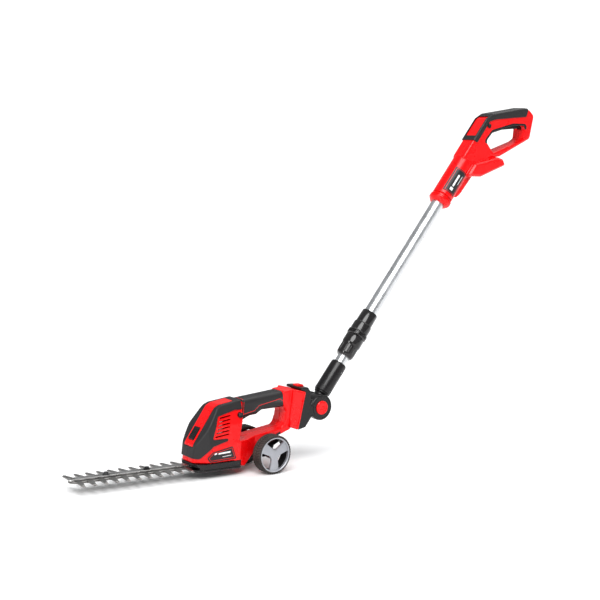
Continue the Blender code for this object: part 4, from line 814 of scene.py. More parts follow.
cover = cut_out("gear_cover", rounded(base_plan, 3), 17.0, 26.7, ON_TOOL, "Z")
pocket = cut_out(
    "pocket", [(-136.5, -15.5), (-87.5, -15.5), (-87.5, 15.5), (-136.5, 15.5)], 0, GUIDE_Z, ON_TOOL, "Z"
)
mouth = cut_out("mouth", [(-170, -50), (-137, -50), (-137, 50), (-170, 50)], 0, GUIDE_Z, ON_TOOL, "Z")
throat = cut_out(
    "throat", [(-138, -13.5), (-136, -13.5), (-136, 13.5), (-138, 13.5)], 0, GUIDE_Z, ON_TOOL, "Z"
)
guide_room = cut_out(
    "guide_room",
    [(-170, -7.3), (-137.7, -7.3), (-137.7, 7.3), (-170, 7.3)],
    GUIDE_Z - 1,
    GUIDE_Z + 2.7,
    ON_TOOL,
    "Z",
)
hub_room = turned("hub_room", [(0, 5), (9.3, 5), (9.3, 60), (0, 60)], on_crank, 48)
cut(cover, pocket, mouth, throat, guide_room, hub_room)
soften(cover, 0.7, 3, 0.35)
finish(cover, BLACK, "head", "black_plastic", "blade_unit_cover")


# ---- Trimmer casing ---------------------------------------------------------------------------
# Two glossy red shells meet on the middle line: the nose over the gearbox, the lower bar, the
# grip's core and the leaning flange.  Slanted louvres on both sides let the motor breathe.
RED = surface("red_abs", (0.80, 0.002, 0.004), (0.86, 0.05, 0.04), 0.4, 900, 0.012, 0.29, 0.10, coat=0.12)
BODY_HALF = 31.0
SEAM = 0.15
LOCKOFF = (-59, 104)
nose_side = [
    (-145.5, 27), (-56, 27), (-60, 62), (-52, 98), (-51, 127), (-95, 120.5), (-103, 116.5), (-141.5, 58),
]
nose_plan = [(-145.5, 16.5), (-133, 25), (-120, 31), (-48, 31)]
nose_section = [(31, 27), (31, 56), (28, 90), (23, 110), (15.5, 128)]
bar_side = [
    (-72, 27), (-55, 27), (-55, 16.5), (-46, 15), (-24, 32), (-8, 46),
    (28, 58), (54, 67), (56, 77), (33, 71), (-39, 60), (-72, 60),
]
web_side = [(36, 136), (58, 138), (52, 68), (40, 66), (33, 70.5), (42, 79), (45, 99), (38, 112)]
FACE_FOOT = Vector((69.0, 65.0))
FACE_HEAD = Vector((82.0, 132.5))
face_up = (FACE_HEAD - FACE_FOOT).normalized()
face_out = Vector((face_up.y, -face_up.x))
face_length = (FACE_HEAD - FACE_FOOT).length


def on_face(out, up):
    return tuple(FACE_FOOT + face_out * out + face_up * up)


def block(name, low, high, matrix):
    outline = [(low[0], low[2]), (high[0], low[2]), (high[0], high[2]), (low[0], high[2])]
    return cut_out(name, outline, low[1], high[1], matrix)


def nose(name, grow, inner_edge=-SEAM):
    """The left half of the nose, with all of its outer faces moved out by grow."""
    side = cut_out(name, grown(nose_side, grow), 12, -60, ON_TOOL)
    plan = [(x, -y) for x, y in nose_plan] + [(-48, 20), (-145.5, 20)]
    section = [(-y, z) for y, z in nose_section] + [(20, 128), (20, 27)]
    over = cut_out("plan", grown(plan, grow), -10, 150, ON_TOOL, "Z")
    along = cut_out("section", grown(section, grow), -200, 0, ON_TOOL, "X")
    keep(side, over, along)
    soften(side, 1.2, 14, 0.35)
    return keep(side, block("half", (-200, -80, 0), (0, inner_edge, 200), ON_TOOL))


def grip_outline(inset, front, rear):
    return [
        (front, 99.8 + 0.08 * front + inset),
        (-16 - 0.4 * inset, 98.5 + inset),
        (-6 - 0.4 * inset, 105.5 + inset),
        (rear, 105.7 + 0.03 * rear + inset),
        (rear, 132.0 + 0.102 * rear - inset),
        (front, 132.0 + 0.102 * front - inset),
    ]


def across(x, z, matrix=ON_TOOL):
    """Turns a round piece so that its axis runs to the tool's right, at x and z."""
    return matrix @ Matrix.Translation((x, 0, z)) @ Matrix.Rotation(math.radians(-90), 4, "X")


def rod(name, radius, low, high, matrix, sides=40):
    return turned(name, [(0, low), (radius, low), (radius, high), (0, high)], matrix, sides)


front_foot = Vector(nose_side[-1])
front_up = (Vector(nose_side[-2]) - front_foot).normalized()
BUTTON_CENTRE = front_foot + front_up * 18.5
front_out = Vector((-front_up.y, front_up.x))


def on_front(out, up):
    return tuple(BUTTON_CENTRE + front_out * out + front_up * up)


def release_room(gap, half_length=12.0, half_width=8.0):
    half = half_length + gap
    outline = [on_front(-12, -half), on_front(12, -half), on_front(12, half), on_front(-12, half)]
    return cut_out("release_room", outline, -half_width - gap, half_width + gap, ON_TOOL)


shell = nose("shell_left", 0.0)
plan = [(-74, -31), (-58, -31), (-22, -18.5), (60, -18.5), (60, 5), (-74, 5)]
lower_bar = cut_out("bar", rounded(bar_side, 2.5), -SEAM, -36, ON_TOOL, rim=2.5)
keep(lower_bar, cut_out("bar_plan", plan, 0, 100, ON_TOOL, "Z"))
core = cut_out("core", grip_outline(2.8, -60, 50), -SEAM, -14.2, ON_TOOL, rim=5.5)
web = cut_out("web", rounded(web_side, 3), -SEAM, -18.5, ON_TOOL, rim=3)
flange_side = [on_face(0, 0), on_face(0, face_length), (54, 139), (49.5, 72)]
flange = cut_out("flange", rounded(flange_side, 3), -SEAM, -25, ON_TOOL, rim=1.8)
join(shell, lower_bar, core, web, flange)
scoop = cut_out(
    "scoop", rounded([(40, 84), (52, 84), (55, 118), (40, 116)], 4), -22.6, -40, ON_TOOL
)
scoop_low = cut_out(
    "scoop_low", rounded([(-50, 40), (-24, 44), (-8, 52), (-44, 54)], 3), -30.0, -40, ON_TOOL
)
cut(shell, scoop, scoop_low)
soften(shell, 0.9, 5, 0.4)
for low, high in ((7, 31), (35, 61)):
    panel = [on_face(-3.5, low), on_face(-3.5, high), on_face(-15, high), on_face(-13, low)]
    cut(shell, cut_out("recess", rounded(panel, 2), -24.1, -30, ON_TOOL))
hollow = nose("hollow", -3.0, 1)
grip_hollow = cut_out("grip_hollow", grip_outline(5.0, -66, 52), 1, -11.7, ON_TOOL, rim=3.5)
face_room = [on_face(1, 12), on_face(1, 56), on_face(-12, 56), on_face(-12, 12)]
groove = [
    on_face(1, 4.6), on_face(1, face_length - 7.6), on_face(-5.4, face_length - 7.6), on_face(-5.4, 4.6),
]
trigger_room = block("trigger_room", (-47.5, -6.3, 80), (-7, 6.3, 111), ON_TOOL)
cut(shell, hollow, grip_hollow)
cut(
    shell,
    cut_out("contact_room", face_room, 1, -15.5, ON_TOOL),
    cut_out("groove", groove, -18.2, -21.9, ON_TOOL),
    rod("coupling_room", 13.5, 10, 40, on_crank),
    trigger_room,
    release_room(0.3),
    rod("lockoff_room", 4.8, -60, 60, across(*LOCKOFF)),
)
for row in range(6):
    low = 69.5 + row * 6.1
    lean = (low - 66) * 0.34
    start, stop = -111.5 + lean, -83 + lean * 0.45
    slot = [(start, low), (stop, low + 3.2), (stop + 0.6, low + 5.8), (start + 0.6, low + 2.6)]
    cut(shell, cut_out("louvre", rounded(slot, 1.1, 3), -18, -40, ON_TOOL))
finish(mirrored("shell_right", shell), RED, "head", "red_plastic", "casing_right")
finish(shell, RED, "head", "red_plastic", "casing_left")


# ---- Soft overmould, red strip and name plates -------------------------------------------------
# Charcoal rubber covers the nose and the grip; a red strip runs down the front between its two
# halves.  A dark plate with a thin red frame and plain marks sits low on each side.
SOFT = surface("charcoal_soft_grip", (0.026, 0.025, 0.026), (0.12, 0.12, 0.12), 0.6, 1400, 0.05, 0.46, 0.12)
INK = surface("label_film", (0.022, 0.022, 0.024), (0.06, 0.06, 0.06), 0.2, 2200, 0.006, 0.34, 0.10)
PRINT = surface("white_print", (0.82, 0.82, 0.82), (0.9, 0.9, 0.9), 0.2, 1800, 0.004, 0.45, 0.08)
soft_region = [
    (-170, 38), (-137, 35), (-115, 56), (-85, 63), (-85, 67), (-116, 67),
    (-104, 105), (-69, 113), (-53.5, 113), (-53.5, 140), (-170, 140),
]
strip_region = [(-165, 57), (-125, 52), (-93, 98), (-67, 104), (-67, 145), (-165, 145)]
overmould = nose("overmould_left", 2.1)
keep(overmould, cut_out("region", rounded(soft_region, 2.5), 0, -60, ON_TOOL))
cut(overmould, cut_out("strip_room", grown(strip_region, 0.3), -12.8, 5, ON_TOOL))
soften(overmould, 0.8, 4, 0.4)
cut(overmould, nose("inside", 0.3, 1), rod("lockoff_room", 6.5, -60, 60, across(*LOCKOFF)))
finish(mirrored("overmould_right", overmould), SOFT, "head", "soft_grip", "soft_panel_right")
finish(overmould, SOFT, "head", "soft_grip", "soft_panel_left")

strip_half = nose("strip_half", 2.5, 0.5)
strip = gather("front_strip", [mirrored("strip_other", strip_half), strip_half])
soften(strip, 0.9, 1, 0.6)
keep(strip, cut_out("region", strip_region, -12.5, 12.5, ON_TOOL))
cut(strip, release_room(0.3))
soften(strip, 0.7, 3, 0.4)
inside = nose("inside", 0.3, 1)
inside_other = mirrored("inside_other", inside)
cut(strip, inside)
cut(strip, inside_other)
finish(strip, RED, "head", "red_plastic", "nose_strip")

for side, word in ((-1, "left"), (1, "right")):
    plate_outline = [(-126, 37), (-115, 46), (-76, 53), (-67, 31), (-120, 29.5)]
    near = side * (BODY_HALF + 0.3)
    shape = rounded(plate_outline, 1.5)
    plate = cut_out(f"side_plate_{word}", shape, near, near + side * 0.6, ON_TOOL, rim=0.2, steps=1)
    finish(plate, INK, "head", "label_film", f"name_plate_{word}")
    outer = rounded(grown(plate_outline, -2.0), 1)
    frame_line = cut_out(f"plate_frame_{word}", outer, near + side * 0.5, near + side * 0.72, ON_TOOL)
    opening = rounded(grown(plate_outline, -2.7), 0.8)
    cut(frame_line, cut_out("opening", opening, near, near + side * 2, ON_TOOL))
    finish(frame_line, RED, "head", "label_film")
    marks = []
    for start, length, low, tall in ((-104, 24, 41.5, 2.6), (-112, 5, 41.2, 2.6), (-96, 18, 36.5, 0.9)):
        bar_mark = [
            (start, low), (start + length, low + 1.2), (start + length, low + 1.2 + tall),
            (start, low + tall),
        ]
        marks.append(cut_out("mark", bar_mark, near + side * 0.5, near + side * 0.74, ON_TOOL))
    finish(gather(f"plate_marks_{word}", marks), PRINT, "head", "label_film")

for side, word in ((-1, "left"), (1, "right")):
    rating = [(-20, 40.5), (24, 61.5), (33, 65.2), (33, 61), (24, 57.2), (-20, 36.5)]
    strip_plate = cut_out(f"rating_strip_{word}", rounded(rating, 1), side * 18.2, side * 18.95, ON_TOOL)
    finish(strip_plate, INK, "head", "label_film")
    dashes = []
    for start in (-14, -2, 10):
        dash = [(start, 40.6 + (start + 14) * 0.48), (start + 9, 44.9 + (start + 14) * 0.48)]
        dash += [(x, z + 0.8) for x, z in reversed(dash)]
        dashes.append(cut_out("dash", dash, side * 18.8, side * 19.08, ON_TOOL))
    finish(gather(f"rating_marks_{word}", dashes), PRINT, "head", "label_film")

cover = cut_out("grip_skin", rounded(grip_outline(0, -49.5, 48.5), 4), -SEAM, -17, ON_TOOL, rim=8)
soften(cover, 0.8, 4, 0.4)
ring = cut_out("ring", [(-46.2, 80), (-45.2, 80), (-44.8, 150), (-45.8, 150)], 0, -30, ON_TOOL)
step_path = [(-44.5, 103), (-23, 107), (-14, 115), (30, 123.5), (39, 118)]
step_line = step_path + [(x, z - 0.9) for x, z in reversed(step_path)]
lines = [ring, cut_out("step", step_line, 0, -30, ON_TOOL)]
inlay_source = bpy.data.objects.new("grip_lines_left", cover.data.copy())
bpy.context.scene.collection.objects.link(inlay_source)
both_lines = gather("lines", lines)
keep_lines = bpy.data.objects.new("keep_lines", both_lines.data.copy())
bpy.context.scene.collection.objects.link(keep_lines)
keep(inlay_source, keep_lines)
inner_room = cut_out("inner_room", grip_outline(1.2, -80, 70), 5, -15.8, ON_TOOL, rim=3)
trigger_space = block("trigger_space", (-48, -8, 78), (-6, 8, 113), ON_TOOL)
cut(inlay_source, inner_room, trigger_space)
web_room = cut_out("web_room", grown(web_side, 0.3), 5, -18.8, ON_TOOL, rim=3)
grip_room = cut_out("grip_room", grip_outline(2.5, -70, 70), 5, -14.5, ON_TOOL, rim=3)
trigger_room = block("trigger_room", (-47.5, -6.3, 80), (-7, 6.3, 111), ON_TOOL)
cut(cover, both_lines, grip_room, web_room, trigger_room)
finish(mirrored("grip_lines_right", inlay_source), RED, "head", "red_plastic")
finish(inlay_source, RED, "head", "red_plastic")
finish(mirrored("grip_skin_right", cover), SOFT, "head", "soft_grip", "grip_cover_right")
finish(cover, SOFT, "head", "soft_grip", "grip_cover_left")


# ---- Buttons and trigger of the trimmer --------------------------------------------------------
# A ribbed black button in the strip lets the blade unit go.  The lock-off pin goes right through
# the red post, and the rubber-faced trigger hangs under the grip.
button_side = [on_front(-8, -12), on_front(3.6, -12), on_front(3.6, 12), on_front(-8, 12)]
release = cut_out("release", rounded(button_side, 2), -8, 8, ON_TOOL)
soften(release, 0.5, 4, 0.4)
for row in range(5):
    along = -6 + row * 3
    valley = [
        on_front(2.8, along - 0.5),
        on_front(5, along - 0.5),
        on_front(5, along + 0.5),
        on_front(2.8, along + 0.5),
    ]
    cut(release, cut_out("valley", valley, -5.5, 5.5, ON_TOOL))
finish(release, BLACK, "blade_release_button", "black_plastic", "blade_release_button")

dish = [
    (0, -28.6), (3.0, -28.9), (3.9, -29.4), (4.4, -28.8), (4.45, 0), (4.4, 28.8), (3.9, 29.4),
    (3.0, 28.9), (0, 28.6),
]
pin = turned("lockoff", dish, across(*LOCKOFF), 48)
finish(pin, BLACK, "lockoff_pin", "black_plastic", "lockoff_pin")

trigger_outline = [
    (-46, 87), (-30, 94.5), (-15, 99.5), (-9, 104), (-10, 108), (-15, 109), (-30, 103.5), (-44, 101)
]
trigger = cut_out("trigger", rounded(trigger_outline, 2), -6, 6, ON_TOOL)
soften(trigger, 0.6, 6, 0.4)
finish(trigger, SOFT, "trimmer_trigger", "soft_grip", "trimmer_trigger")


# ---- Adapter plate and tilt pivot --------------------------------------------------------------
# The black adapter slides on to the leaning flange and its red latch snaps over the top.  Its two
# round cheeks hold the pole's knuckle on a steel pin; the red button in the left one frees it.
joints = {joint["name"]: joint for joint in frame["record"]["behaviour"]["joints"]}
PIVOT = (Vector(joints["pole_tilt"]["pos_m"]) - FOOT) / MM
pole_axis = Vector(joints["pole_extend"]["axis"])
ON_POLE = ON_TOOL @ Matrix.Translation(PIVOT) @ Vector((0, 0, 1)).rotation_difference(
    pole_axis
).to_matrix().to_4x4()

adapter_side = [
    on_face(0.3, -0.5), on_face(0.3, face_length + 0.3), (72, 135.4), (72, 140),
    (88, 139.5), (94, 131), (98, 85), (86, 68.5),
]
CHEEK_INNER = 12.0
HUB_RADIUS = 23.0
adapter = cut_out("adapter", rounded(adapter_side, 1.6), -22, 22, ON_TOOL)
PIVOT_PLACE = ON_TOOL @ Matrix.Translation(PIVOT)
for side in (-1, 1):
    cheek = turned(
        "cheek",
        [
            (0, CHEEK_INNER - 1), (HUB_RADIUS, CHEEK_INNER - 1), (HUB_RADIUS, 22.6),
            (HUB_RADIUS - 1.5, 24), (0, 24),
        ],
        PIVOT_PLACE @ Matrix.Rotation(math.radians(-90 * side), 4, "X"),
        96,
    )
    low, high = sorted((side * (CHEEK_INNER - 2), side * 20.5))
    arm = block("arm", (90, low, PIVOT.z - 15), (PIVOT.x - 8, high, PIVOT.z + 15), ON_TOOL)
    join(adapter, cheek, arm)
soften(adapter, 0.8, 4, 0.4)
rails = []
for side in (-1, 1):
    rail = [on_face(1.3, 5), on_face(1.3, face_length - 8), on_face(-5, face_length - 8), on_face(-5, 5)]
    rails.append(cut_out("rail", rail, side * 18.5, side * 21.5, ON_TOOL))
join(adapter, *rails)
PIVOT_ACROSS = PIVOT_PLACE @ Matrix.Rotation(math.radians(-90), 4, "X")
cut(
    adapter,
    rod("knuckle_room", HUB_RADIUS + 1.5, -12, 12, PIVOT_ACROSS, 96),
    rod("button_room", 12.8, -30, -15, PIVOT_ACROSS, 72),
    rod("pin_room", 4.3, -24, 30, PIVOT_ACROSS),
    block("latch_room", (75.2, -7.3, 130), (88.8, 7.3, 150), ON_TOOL),
    block("stem_room", (83, -4, 118), (91, 4, 131), ON_TOOL),
    cut_out(
        "contact_room",
        [on_face(-1, 11), on_face(8, 11), on_face(8, 44), on_face(-1, 44)],
        -14,
        14,
        ON_TOOL,
    ),
)
groove = turned("groove", [(18.6, -25), (19.4, -25), (19.4, -23.5), (18.6, -23.5)], PIVOT_ACROSS, 96)
cut(adapter, groove)
finish(adapter, BLACK, "head", "black_plastic", "pole_adapter")

latch = cut_out(
    "latch",
    rounded([(75.5, 137), (88.5, 137), (88.5, 141), (86.5, 142.5), (75.5, 142.5)], 0.8),
    -7,
    7,
    ON_TOOL,
)
stem = block("stem", (84, -3, 126), (88.5, 3, 138), ON_TOOL)
join(latch, stem)
for row in range(4):
    x = 77.5 + row * 2.2
    cut(latch, block("rib_gap", (x, -5.5, 141.9), (x + 0.9, 5.5, 144), ON_TOOL))
chamfer(latch, 0.35)
finish(latch, RED, "adapter_latch", "red_plastic", "adapter_latch")

tilt_button = turned(
    "tilt_press_button",
    [
        (0, -26.4), (5.5, -26.5), (8.6, -26.95), (10.2, -27.0), (11.6, -26.6), (12.4, -25.6),
        (12.45, -19.7),
        (10.1, -19.7), (10.1, -23.0), (0, -23.0),
    ],
    PIVOT_ACROSS,
    96,
)
finish(tilt_button, RED, "tilt_button", "red_plastic", "tilt_button")

head = turned(
    "pin_head",
    [
        (0, -14.5), (3.9, -14.5), (3.95, 24.3), (6.9, 24.35), (6.95, 26.6), (5.8, 27.4), (3.2, 27.45),
        (2.6, 26.2), (0, 26.2),
    ],
    PIVOT_ACROSS,
    48,
)
finish(head, STEEL, "head", "steel", "tilt_pin")

knuckle = rod("knuckle", HUB_RADIUS - 1.6, -11.6, 11.6, PIVOT_ACROSS, 96)
neck = rod("neck", 11.3, 10, 25, ON_POLE, 64)
shoulder = turned("shoulder", [(0, 19), (10.9, 23.5), (13.6, 26), (13.6, 27.9), (0, 27.9)], ON_POLE, 64)
spigot = rod("spigot", 10.4, 27, 41.8, ON_POLE, 64)
join(knuckle, neck, shoulder)
soften(knuckle, 0.7, 3, 0.4)
join(knuckle, spigot)
cut(knuckle, rod("pin_room", 4.3, -40, 40, PIVOT_ACROSS))
finish(knuckle, BLACK, "lower_pole", "black_plastic", "tilt_knuckle")


# ---- Pole --------------------------------------------------------------------------------------
# A satin black sleeve is screwed to the narrow tube, which slides in the bright outer tube.  The
# gloss black lock between them has a twist nut and a ringed body.
GLOSS = surface(
    "black_gloss_nylon",
    (0.014, 0.013, 0.013),
    (0.08, 0.08, 0.08),
    0.4,
    700,
    0.006,
    0.17,
    0.08,
    coat=0.5,
)
TUBE_BORE = 10.8
SLEEVE_SCREWS = (36.0, 76.0)
sleeve = turned(
    "sleeve",
    [
        (TUBE_BORE, 28.4), (14.2, 28.4), (14.9, 28.9), (15.1, 29.8), (14.9, 78), (14.7, 88.0),
        (14.2, 89.8), (13.2, 90.8), (11.8, 90.9), (11.2, 90.2), (TUBE_BORE, 89.0),
    ],
    ON_POLE,
    96,
)
SCREW_TURN = Matrix.Rotation(math.radians(-62), 4, "Z") @ Matrix.Rotation(math.radians(90), 4, "Y")
for along in SLEEVE_SCREWS:
    place = ON_POLE @ Matrix.Translation((0, 0, along)) @ SCREW_TURN
    recess = turned("recess", [(0, 10), (1.9, 10), (1.9, 13.6), (3.0, 14.4), (3.0, 18), (0, 18)], place, 32)
    cut(sleeve, recess)
finish(sleeve, BLACK, "lower_pole", "black_plastic", "pole_sleeve")
for number, along in enumerate(SLEEVE_SCREWS, 1):
    place = ON_POLE @ Matrix.Translation((0, 0, along)) @ SCREW_TURN
    screw = rod(f"cross_screw_{number}", 1.55, 11.1, 13.9, place, 24)
    drive_a = block("drive_a", (-0.3, -1.0, 13.2), (0.3, 1.0, 15), place)
    drive_b = block("drive_b", (-1.0, -0.3, 13.2), (1.0, 0.3, 15), place)
    cut(screw, drive_a, drive_b)
    finish(screw, STEEL, "lower_pole", "steel", f"sleeve_screw_{number}")

ALUMINIUM = brushed("drawn_aluminium", (0.72, 0.73, 0.74), (1800, 1800, 1800), 0.004, 0.31)
NARROW_TUBE = (46.1, 439.9)
WIDE_TUBE = (152.1, 479.9)


def pipe(name, outer, inner, low, high, sides=96):
    lip = min(0.3, (outer - inner) / 3)
    profile = [
        (inner, low + lip), (inner + lip, low), (outer - lip, low), (outer, low + lip),
        (outer, high - lip), (outer - lip, high), (inner + lip, high), (inner, high - lip),
    ]
    return turned(name, profile, ON_POLE, sides)


finish(
    pipe("narrow_tube", 10.45, 9.35, *NARROW_TUBE),
    ALUMINIUM,
    "lower_pole",
    "aluminium",
    "inner_tube",
)
finish(pipe("wide_tube", 11.95, 10.85, *WIDE_TUBE), ALUMINIUM, "upper_pole", "aluminium", "outer_tube")

NUT = 106.0
NUT_END = NUT + 43.0
nut = turned(
    "twist_nut",
    [
        (10.85, NUT + 0.2), (13.2, NUT + 0.1), (14.6, NUT + 1.6), (15.8, NUT + 4.4), (16.2, NUT + 6.6),
        (16.2, NUT + 22.6), (16.5, NUT + 24.2), (17.2, NUT + 25.6), (17.5, NUT + 27.2),
        (17.5, NUT_END - 1.2),
        (16.9, NUT_END - 0.1), (13.1, NUT_END - 0.1), (13.1, NUT + 4.1), (10.85, NUT + 4.1),
    ],
    ON_POLE,
    120,
)
for i in range(12):
    turn = Matrix.Rotation(2 * math.pi * i / 12, 4, "Z")
    flute = rod("flute", 1.3, NUT + 7.5, NUT + 21.5, ON_POLE @ turn @ Matrix.Translation((16.9, 0, 0)), 20)
    cut(nut, flute)
finish(nut, GLOSS, "lock_nut", "black_plastic", "lock_nut")

ring_profile = [
    (10.85, NUT_END + 0.4), (17.0, NUT_END + 0.4), (18.4, NUT_END + 1.4), (18.8, NUT_END + 2.4),
    (18.8, NUT_END + 3.8), (17.2, NUT_END + 4.2), (17.2, NUT_END + 4.9), (18.8, NUT_END + 5.3),
    (18.8, NUT_END + 6.3), (17.2, NUT_END + 6.7), (17.2, NUT_END + 7.4), (18.8, NUT_END + 7.8),
    (18.7, NUT_END + 9.0), (17.9, NUT_END + 10.4), (17.2, NUT_END + 11.4), (17.2, NUT_END + 26.4),
    (16.6, NUT_END + 27.8), (15.4, NUT_END + 28.9), (15.0, NUT_END + 52.6), (14.2, NUT + 96.9),
    (12.4, NUT + 96.9), (12.4, 151.8), (10.85, 151.8),
]
lock = turned("tube_lock", ring_profile, ON_POLE, 120)
finish(lock, GLOSS, "upper_pole", "black_plastic", "lock_body")


# ---- Upper handle ------------------------------------------------------------------------------
# Two red shells form the barrel, the D-shaped loop and the wedge of the battery seat.  A charcoal
# saddle wraps over the top, and a long black lever lies along the upper edge of the hand hole.
BRASS = surface("machined_brass", (0.72, 0.52, 0.20), (0.86, 0.70, 0.40), 0.5, 900, 0.01, 0.30, 0.12, 1.0)
COLLAR = 458.0
BARREL = COLLAR + 16.3
BARREL_RADIUS = 20.0
UPPER_LOCKOFF = (-5, BARREL + 170)
HANDLE_HALF = 16.0
RAIL_HALF = 27.0


def up_pole(points):
    return [(u, BARREL + s) for u, s in points]


loop_outline = up_pole(
    [
        (-18, 79), (-18, 176), (-11, 193), (49, 258), (62, 267), (80, 267), (101, 225), (59, 146),
        (40, 128), (18, 79),
    ]
)
hand_hole = up_pole([(9, 143), (11, 168), (46, 213), (73, 235), (87, 214), (82, 202), (40, 139)])
rib_outline = up_pole([(0, 16), (23, 16), (27, 26), (30, 82), (0, 82)])
SEAT_FOOT = Vector((37, BARREL + 79))
SEAT_HEAD = Vector((74, BARREL + 137))
seat_up = (SEAT_HEAD - SEAT_FOOT).normalized()
seat_out = Vector((seat_up.y, -seat_up.x))
rail_outline = up_pole([(8, 88), (8, 57)]) + [tuple(SEAT_FOOT), tuple(SEAT_HEAD)]
rail_outline += up_pole([(62, 142), (48, 136)])


def on_seat(out, up):
    return tuple(SEAT_FOOT + seat_out * out + seat_up * up)


def on_seat_box(name, low, high, half_width):
    outline = [
        on_seat(low[0], low[1]),
        on_seat(high[0], low[1]),
        on_seat(high[0], high[1]),
        on_seat(low[0], high[1]),
    ]
    return cut_out(name, outline, -half_width, half_width, ON_POLE)


def loop_half(name, grow, inner_edge=-SEAM):
    outline = rounded(grown(loop_outline, grow), 9, 7)
    return cut_out(name, outline, inner_edge, -HANDLE_HALF - grow, ON_POLE, rim=4.5)


collar = turned(
    "ring_collar",
    [
        (12.35, COLLAR + 0.1), (15.6, COLLAR + 0.1), (17.2, COLLAR + 0.8), (20.6, COLLAR + 5.2),
        (21.3, COLLAR + 6.4),
        (21.4, COLLAR + 8.6), (20.4, COLLAR + 9.1), (20.4, COLLAR + 9.9), (21.4, COLLAR + 10.4),
        (21.2, COLLAR + 12.6),
        (20.4, COLLAR + 13.4), (18.1, COLLAR + 13.9), (17.9, COLLAR + 15.9), (12.35, COLLAR + 15.9),
    ],
    ON_POLE,
    120,
)
finish(collar, RED, "upper_pole", "red_plastic", "handle_collar")

hole = cut_out("hand_hole", rounded(hand_hole, 6, 7), 5, -50, ON_POLE)
hole_again = cut_out("hand_hole", rounded(hand_hole, 6, 7), 6, -50, ON_POLE)
rail = cut_out("rail", rounded(rail_outline, 2.5), 2, -RAIL_HALF, ON_POLE, rim=4, steps=1)
handle = gather(
    "handle_shell_left",
    [
        rod("barrel", BARREL_RADIUS, BARREL, BARREL + 86, ON_POLE, 96),
        cut_out("rib", rounded(rib_outline, 3), 3, -11, ON_POLE, rim=3),
        cut(loop_half("loop", 0, 4), hole),
        cut(rail, hole_again),
    ],
)
soften(handle, 0.9, 7, 0.35)
keep(handle, block("half", (-60, -50, BARREL - 5), (130, -SEAM, BARREL + 300), ON_POLE))
trim_region = up_pole(
    [(-10, 140), (12, 140), (22, 172), (50, 206), (74, 226), (88, 240), (60, 270), (-20, 200)]
)
trim = cut_out("hole_trim", rounded(grown(hand_hole, 4.2), 8, 7), -16.2, 16.2, ON_POLE)
cut(trim, cut_out("hand_hole", rounded(hand_hole, 6, 7), -60, 60, ON_POLE))
keep(trim, cut_out("trim_region", trim_region, -60, 60, ON_POLE))
trim_room = bpy.data.objects.new("trim_room", trim.data.copy())
bpy.context.scene.collection.objects.link(trim_room)
cut(handle, trim_room)
lever_room = up_pole(
    [(20, 140), (-2, 140), (-2, 178), (29, 226), (64, 250), (84, 242), (81, 228), (52, 200), (24, 160)]
)
cut(trim, cut_out("lever_room", lever_room, -5.9, 5.9, ON_POLE))
chamfer(trim, 0.9)
finish(trim, BLACK, "upper_pole", "black_plastic")
step_line = [on_seat(-4.6, -2), on_seat(-4.0, -2), on_seat(-4.0, 72), on_seat(-4.6, 72)]
outer_only = cut_out("step_line", step_line, -RAIL_HALF + 0.8, -RAIL_HALF - 5, ON_POLE)
barrel_room = rod("barrel_room", BARREL_RADIUS - 2.6, 486, BARREL + 82, ON_POLE, 64)
trigger_room = up_pole(
    [
        (14, 144.5), (-0.5, 144.5), (-0.5, 178), (29, 226), (64, 248), (82, 242), (79, 230), (52, 208),
        (20, 168),
    ]
)
cut(
    handle,
    outer_only,
    barrel_room,
    rod("tube_seat", 12.3, BARREL - 5, 488, ON_POLE, 64),
    cut_out("trigger_room", trigger_room, 1, -5.8, ON_POLE),
    rod("lockoff_room", 4.3, -60, 60, across(*UPPER_LOCKOFF, ON_POLE)),
    on_seat_box("seat", (-9, 6), (3, 63), RAIL_HALF - 5),
)
finish(mirrored("handle_shell_right", handle), RED, "upper_pole", "red_plastic", "handle_right")
finish(handle, RED, "upper_pole", "red_plastic", "handle_left")

saddle_region = up_pole(
    [(-30, 121), (-9, 126), (-9.5, 177), (0, 190), (62, 249), (58, 262), (44, 276), (-40, 220)]
)
saddle = loop_half("saddle", 1.9, 0.5)
keep(saddle, cut_out("region", saddle_region, -50, 50, ON_POLE))
cut(
    saddle,
    block("front_window", (-40, -14, BARREL + 134), (-10, 14, BARREL + 184), ON_POLE),
    rod("lockoff_room", 5.0, -60, 60, across(*UPPER_LOCKOFF, ON_POLE)),
)
soften(saddle, 0.7, 3, 0.4)
cut(saddle, loop_half("inside", 0.3, 1))
keep(saddle, block("half", (-90, -50, 400), (150, 0.2, 900), ON_POLE))
other = mirrored("saddle_other", saddle)
join(saddle, other)
finish(saddle, SOFT, "upper_pole", "soft_grip", "handle_saddle")

lever_outline = up_pole(
    [
        (13.5, 147), (17, 169), (36, 194), (71, 227), (77, 231.5), (80, 236), (77, 240), (70, 240.5),
        (38, 220), (6.8, 173), (7, 149),
    ]
)
lever = cut_out("lever", rounded(lever_outline, 1.5), -5.4, 5.4, ON_POLE)
soften(lever, 0.6, 5, 0.4)
finish(lever, BLACK, "handle_trigger", "black_plastic", "handle_trigger")

pad = [
    (0, -17.9), (3.0, -18.2), (3.8, -18.45), (4.0, -17.6), (4.0, 17.6), (3.8, 18.45), (3.0, 18.2),
    (0, 17.9),
]
upper_pin = turned("upper_lockoff", pad, across(*UPPER_LOCKOFF, ON_POLE), 48)
finish(upper_pin, BLACK, "handle_lockoff_pin", "black_plastic", "handle_lockoff_pin")


def sticker(name, radius, u_low, u_high, low, high, thick=0.25):
    """A thin curved sheet on the barrel's left side."""
    sheet = turned(
        name,
        [(radius, low), (radius + thick, low), (radius + thick, high), (radius, high)],
        ON_POLE,
        240,
    )
    return keep(sheet, block("window", (u_low, -40, low - 5), (u_high, 0, high + 5), ON_POLE))


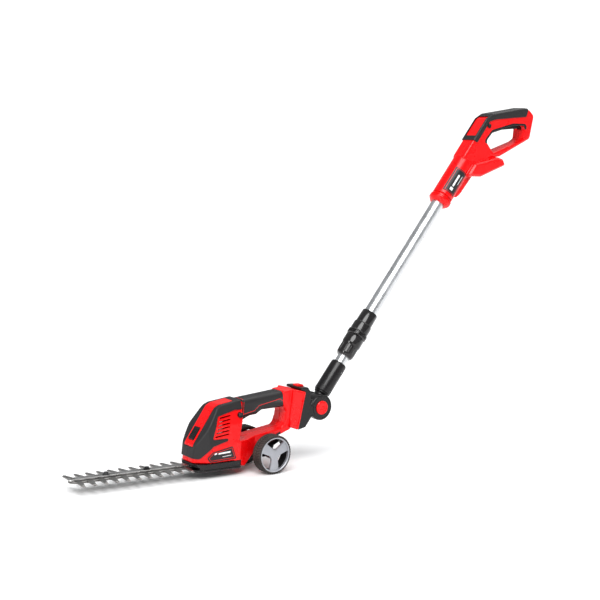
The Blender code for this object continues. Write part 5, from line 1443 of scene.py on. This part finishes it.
film = sticker("barrel_film", BARREL_RADIUS + 0.4, -17, 7, BARREL + 7, BARREL + 60)
finish(film, INK, "upper_pole", "label_film", "handle_label")
film_line = sticker("film_line", BARREL_RADIUS + 0.6, -15.4, 5.4, BARREL + 8.6, BARREL + 58.4, 0.12)
cut(film_line, block("window", (-14.9, -60, BARREL + 9.1), (4.9, 10, BARREL + 57.9), ON_POLE))
finish(film_line, RED, "upper_pole", "label_film")
marks = [
    sticker("square", BARREL_RADIUS + 0.6, -9, -3, BARREL + 13, BARREL + 19, 0.12),
    sticker("long_bar", BARREL_RADIUS + 0.6, -8, -4.5, BARREL + 22, BARREL + 48, 0.12),
    sticker("short_bar", BARREL_RADIUS + 0.6, 0.5, 1.6, BARREL + 30, BARREL + 50, 0.12),
]
finish(gather("film_marks", marks), PRINT, "upper_pole", "label_film")

seat_half = RAIL_HALF - 5.4
seat_plate = on_seat_box("seat_plate", (-8.7, 6.3), (-5.5, 62.7), seat_half)
for side in (-1, 1):
    seat_rail = on_seat_box("seat_rail", (-6, 10), (-0.5, 59), 1.5)
    seat_rail.data.transform(Matrix.Translation((0, side * 16 * MM, 0)))
    join(seat_plate, seat_rail)
chamfer(seat_plate, 0.3)
finish(seat_plate, BLACK, "upper_pole", "black_plastic", "battery_rail")
tabs = []
for side in (-1, 0, 1):
    tab = on_seat_box("tab", (-5.2, 14), (-1.5, 40), 0.7)
    tab.data.transform(Matrix.Translation((0, side * 4.5 * MM, 0)))
    tabs.append(chamfer(tab, 0.2))
foot = on_seat_box("foot", (-5.2, 14), (-4.2, 40), 5.9)
finish(gather("contact_tabs", tabs + [foot]), BRASS, "upper_pole", "brass", "battery_terminals")


# ---- Hidden works ------------------------------------------------------------------------------
# Motor, gears, crank, switch, springs and board keep the shapes they were made with.
BOARD = surface("circuit_board", (0.01, 0.10, 0.04), (0.08, 0.25, 0.12), 0.3, 600, 0.02, 0.42, 0.10)
for names, paint in (
    (("drive_motor", "latch_spring", "tilt_button_spring", "motor_pinion"), STEEL),
    (("drive_gear", "crank_hub", "gearbox_plate"), STEEL),
    (("main_switch", "contact_block", "lock_collet"), BLACK),
    (("adapter_contacts",), BRASS),
    (("handle_circuit_board",), BOARD),
):
    for name in names:
        piece = bpy.data.objects.get(name)
        if piece:
            piece.data.materials.clear()
            piece.data.materials.append(paint)

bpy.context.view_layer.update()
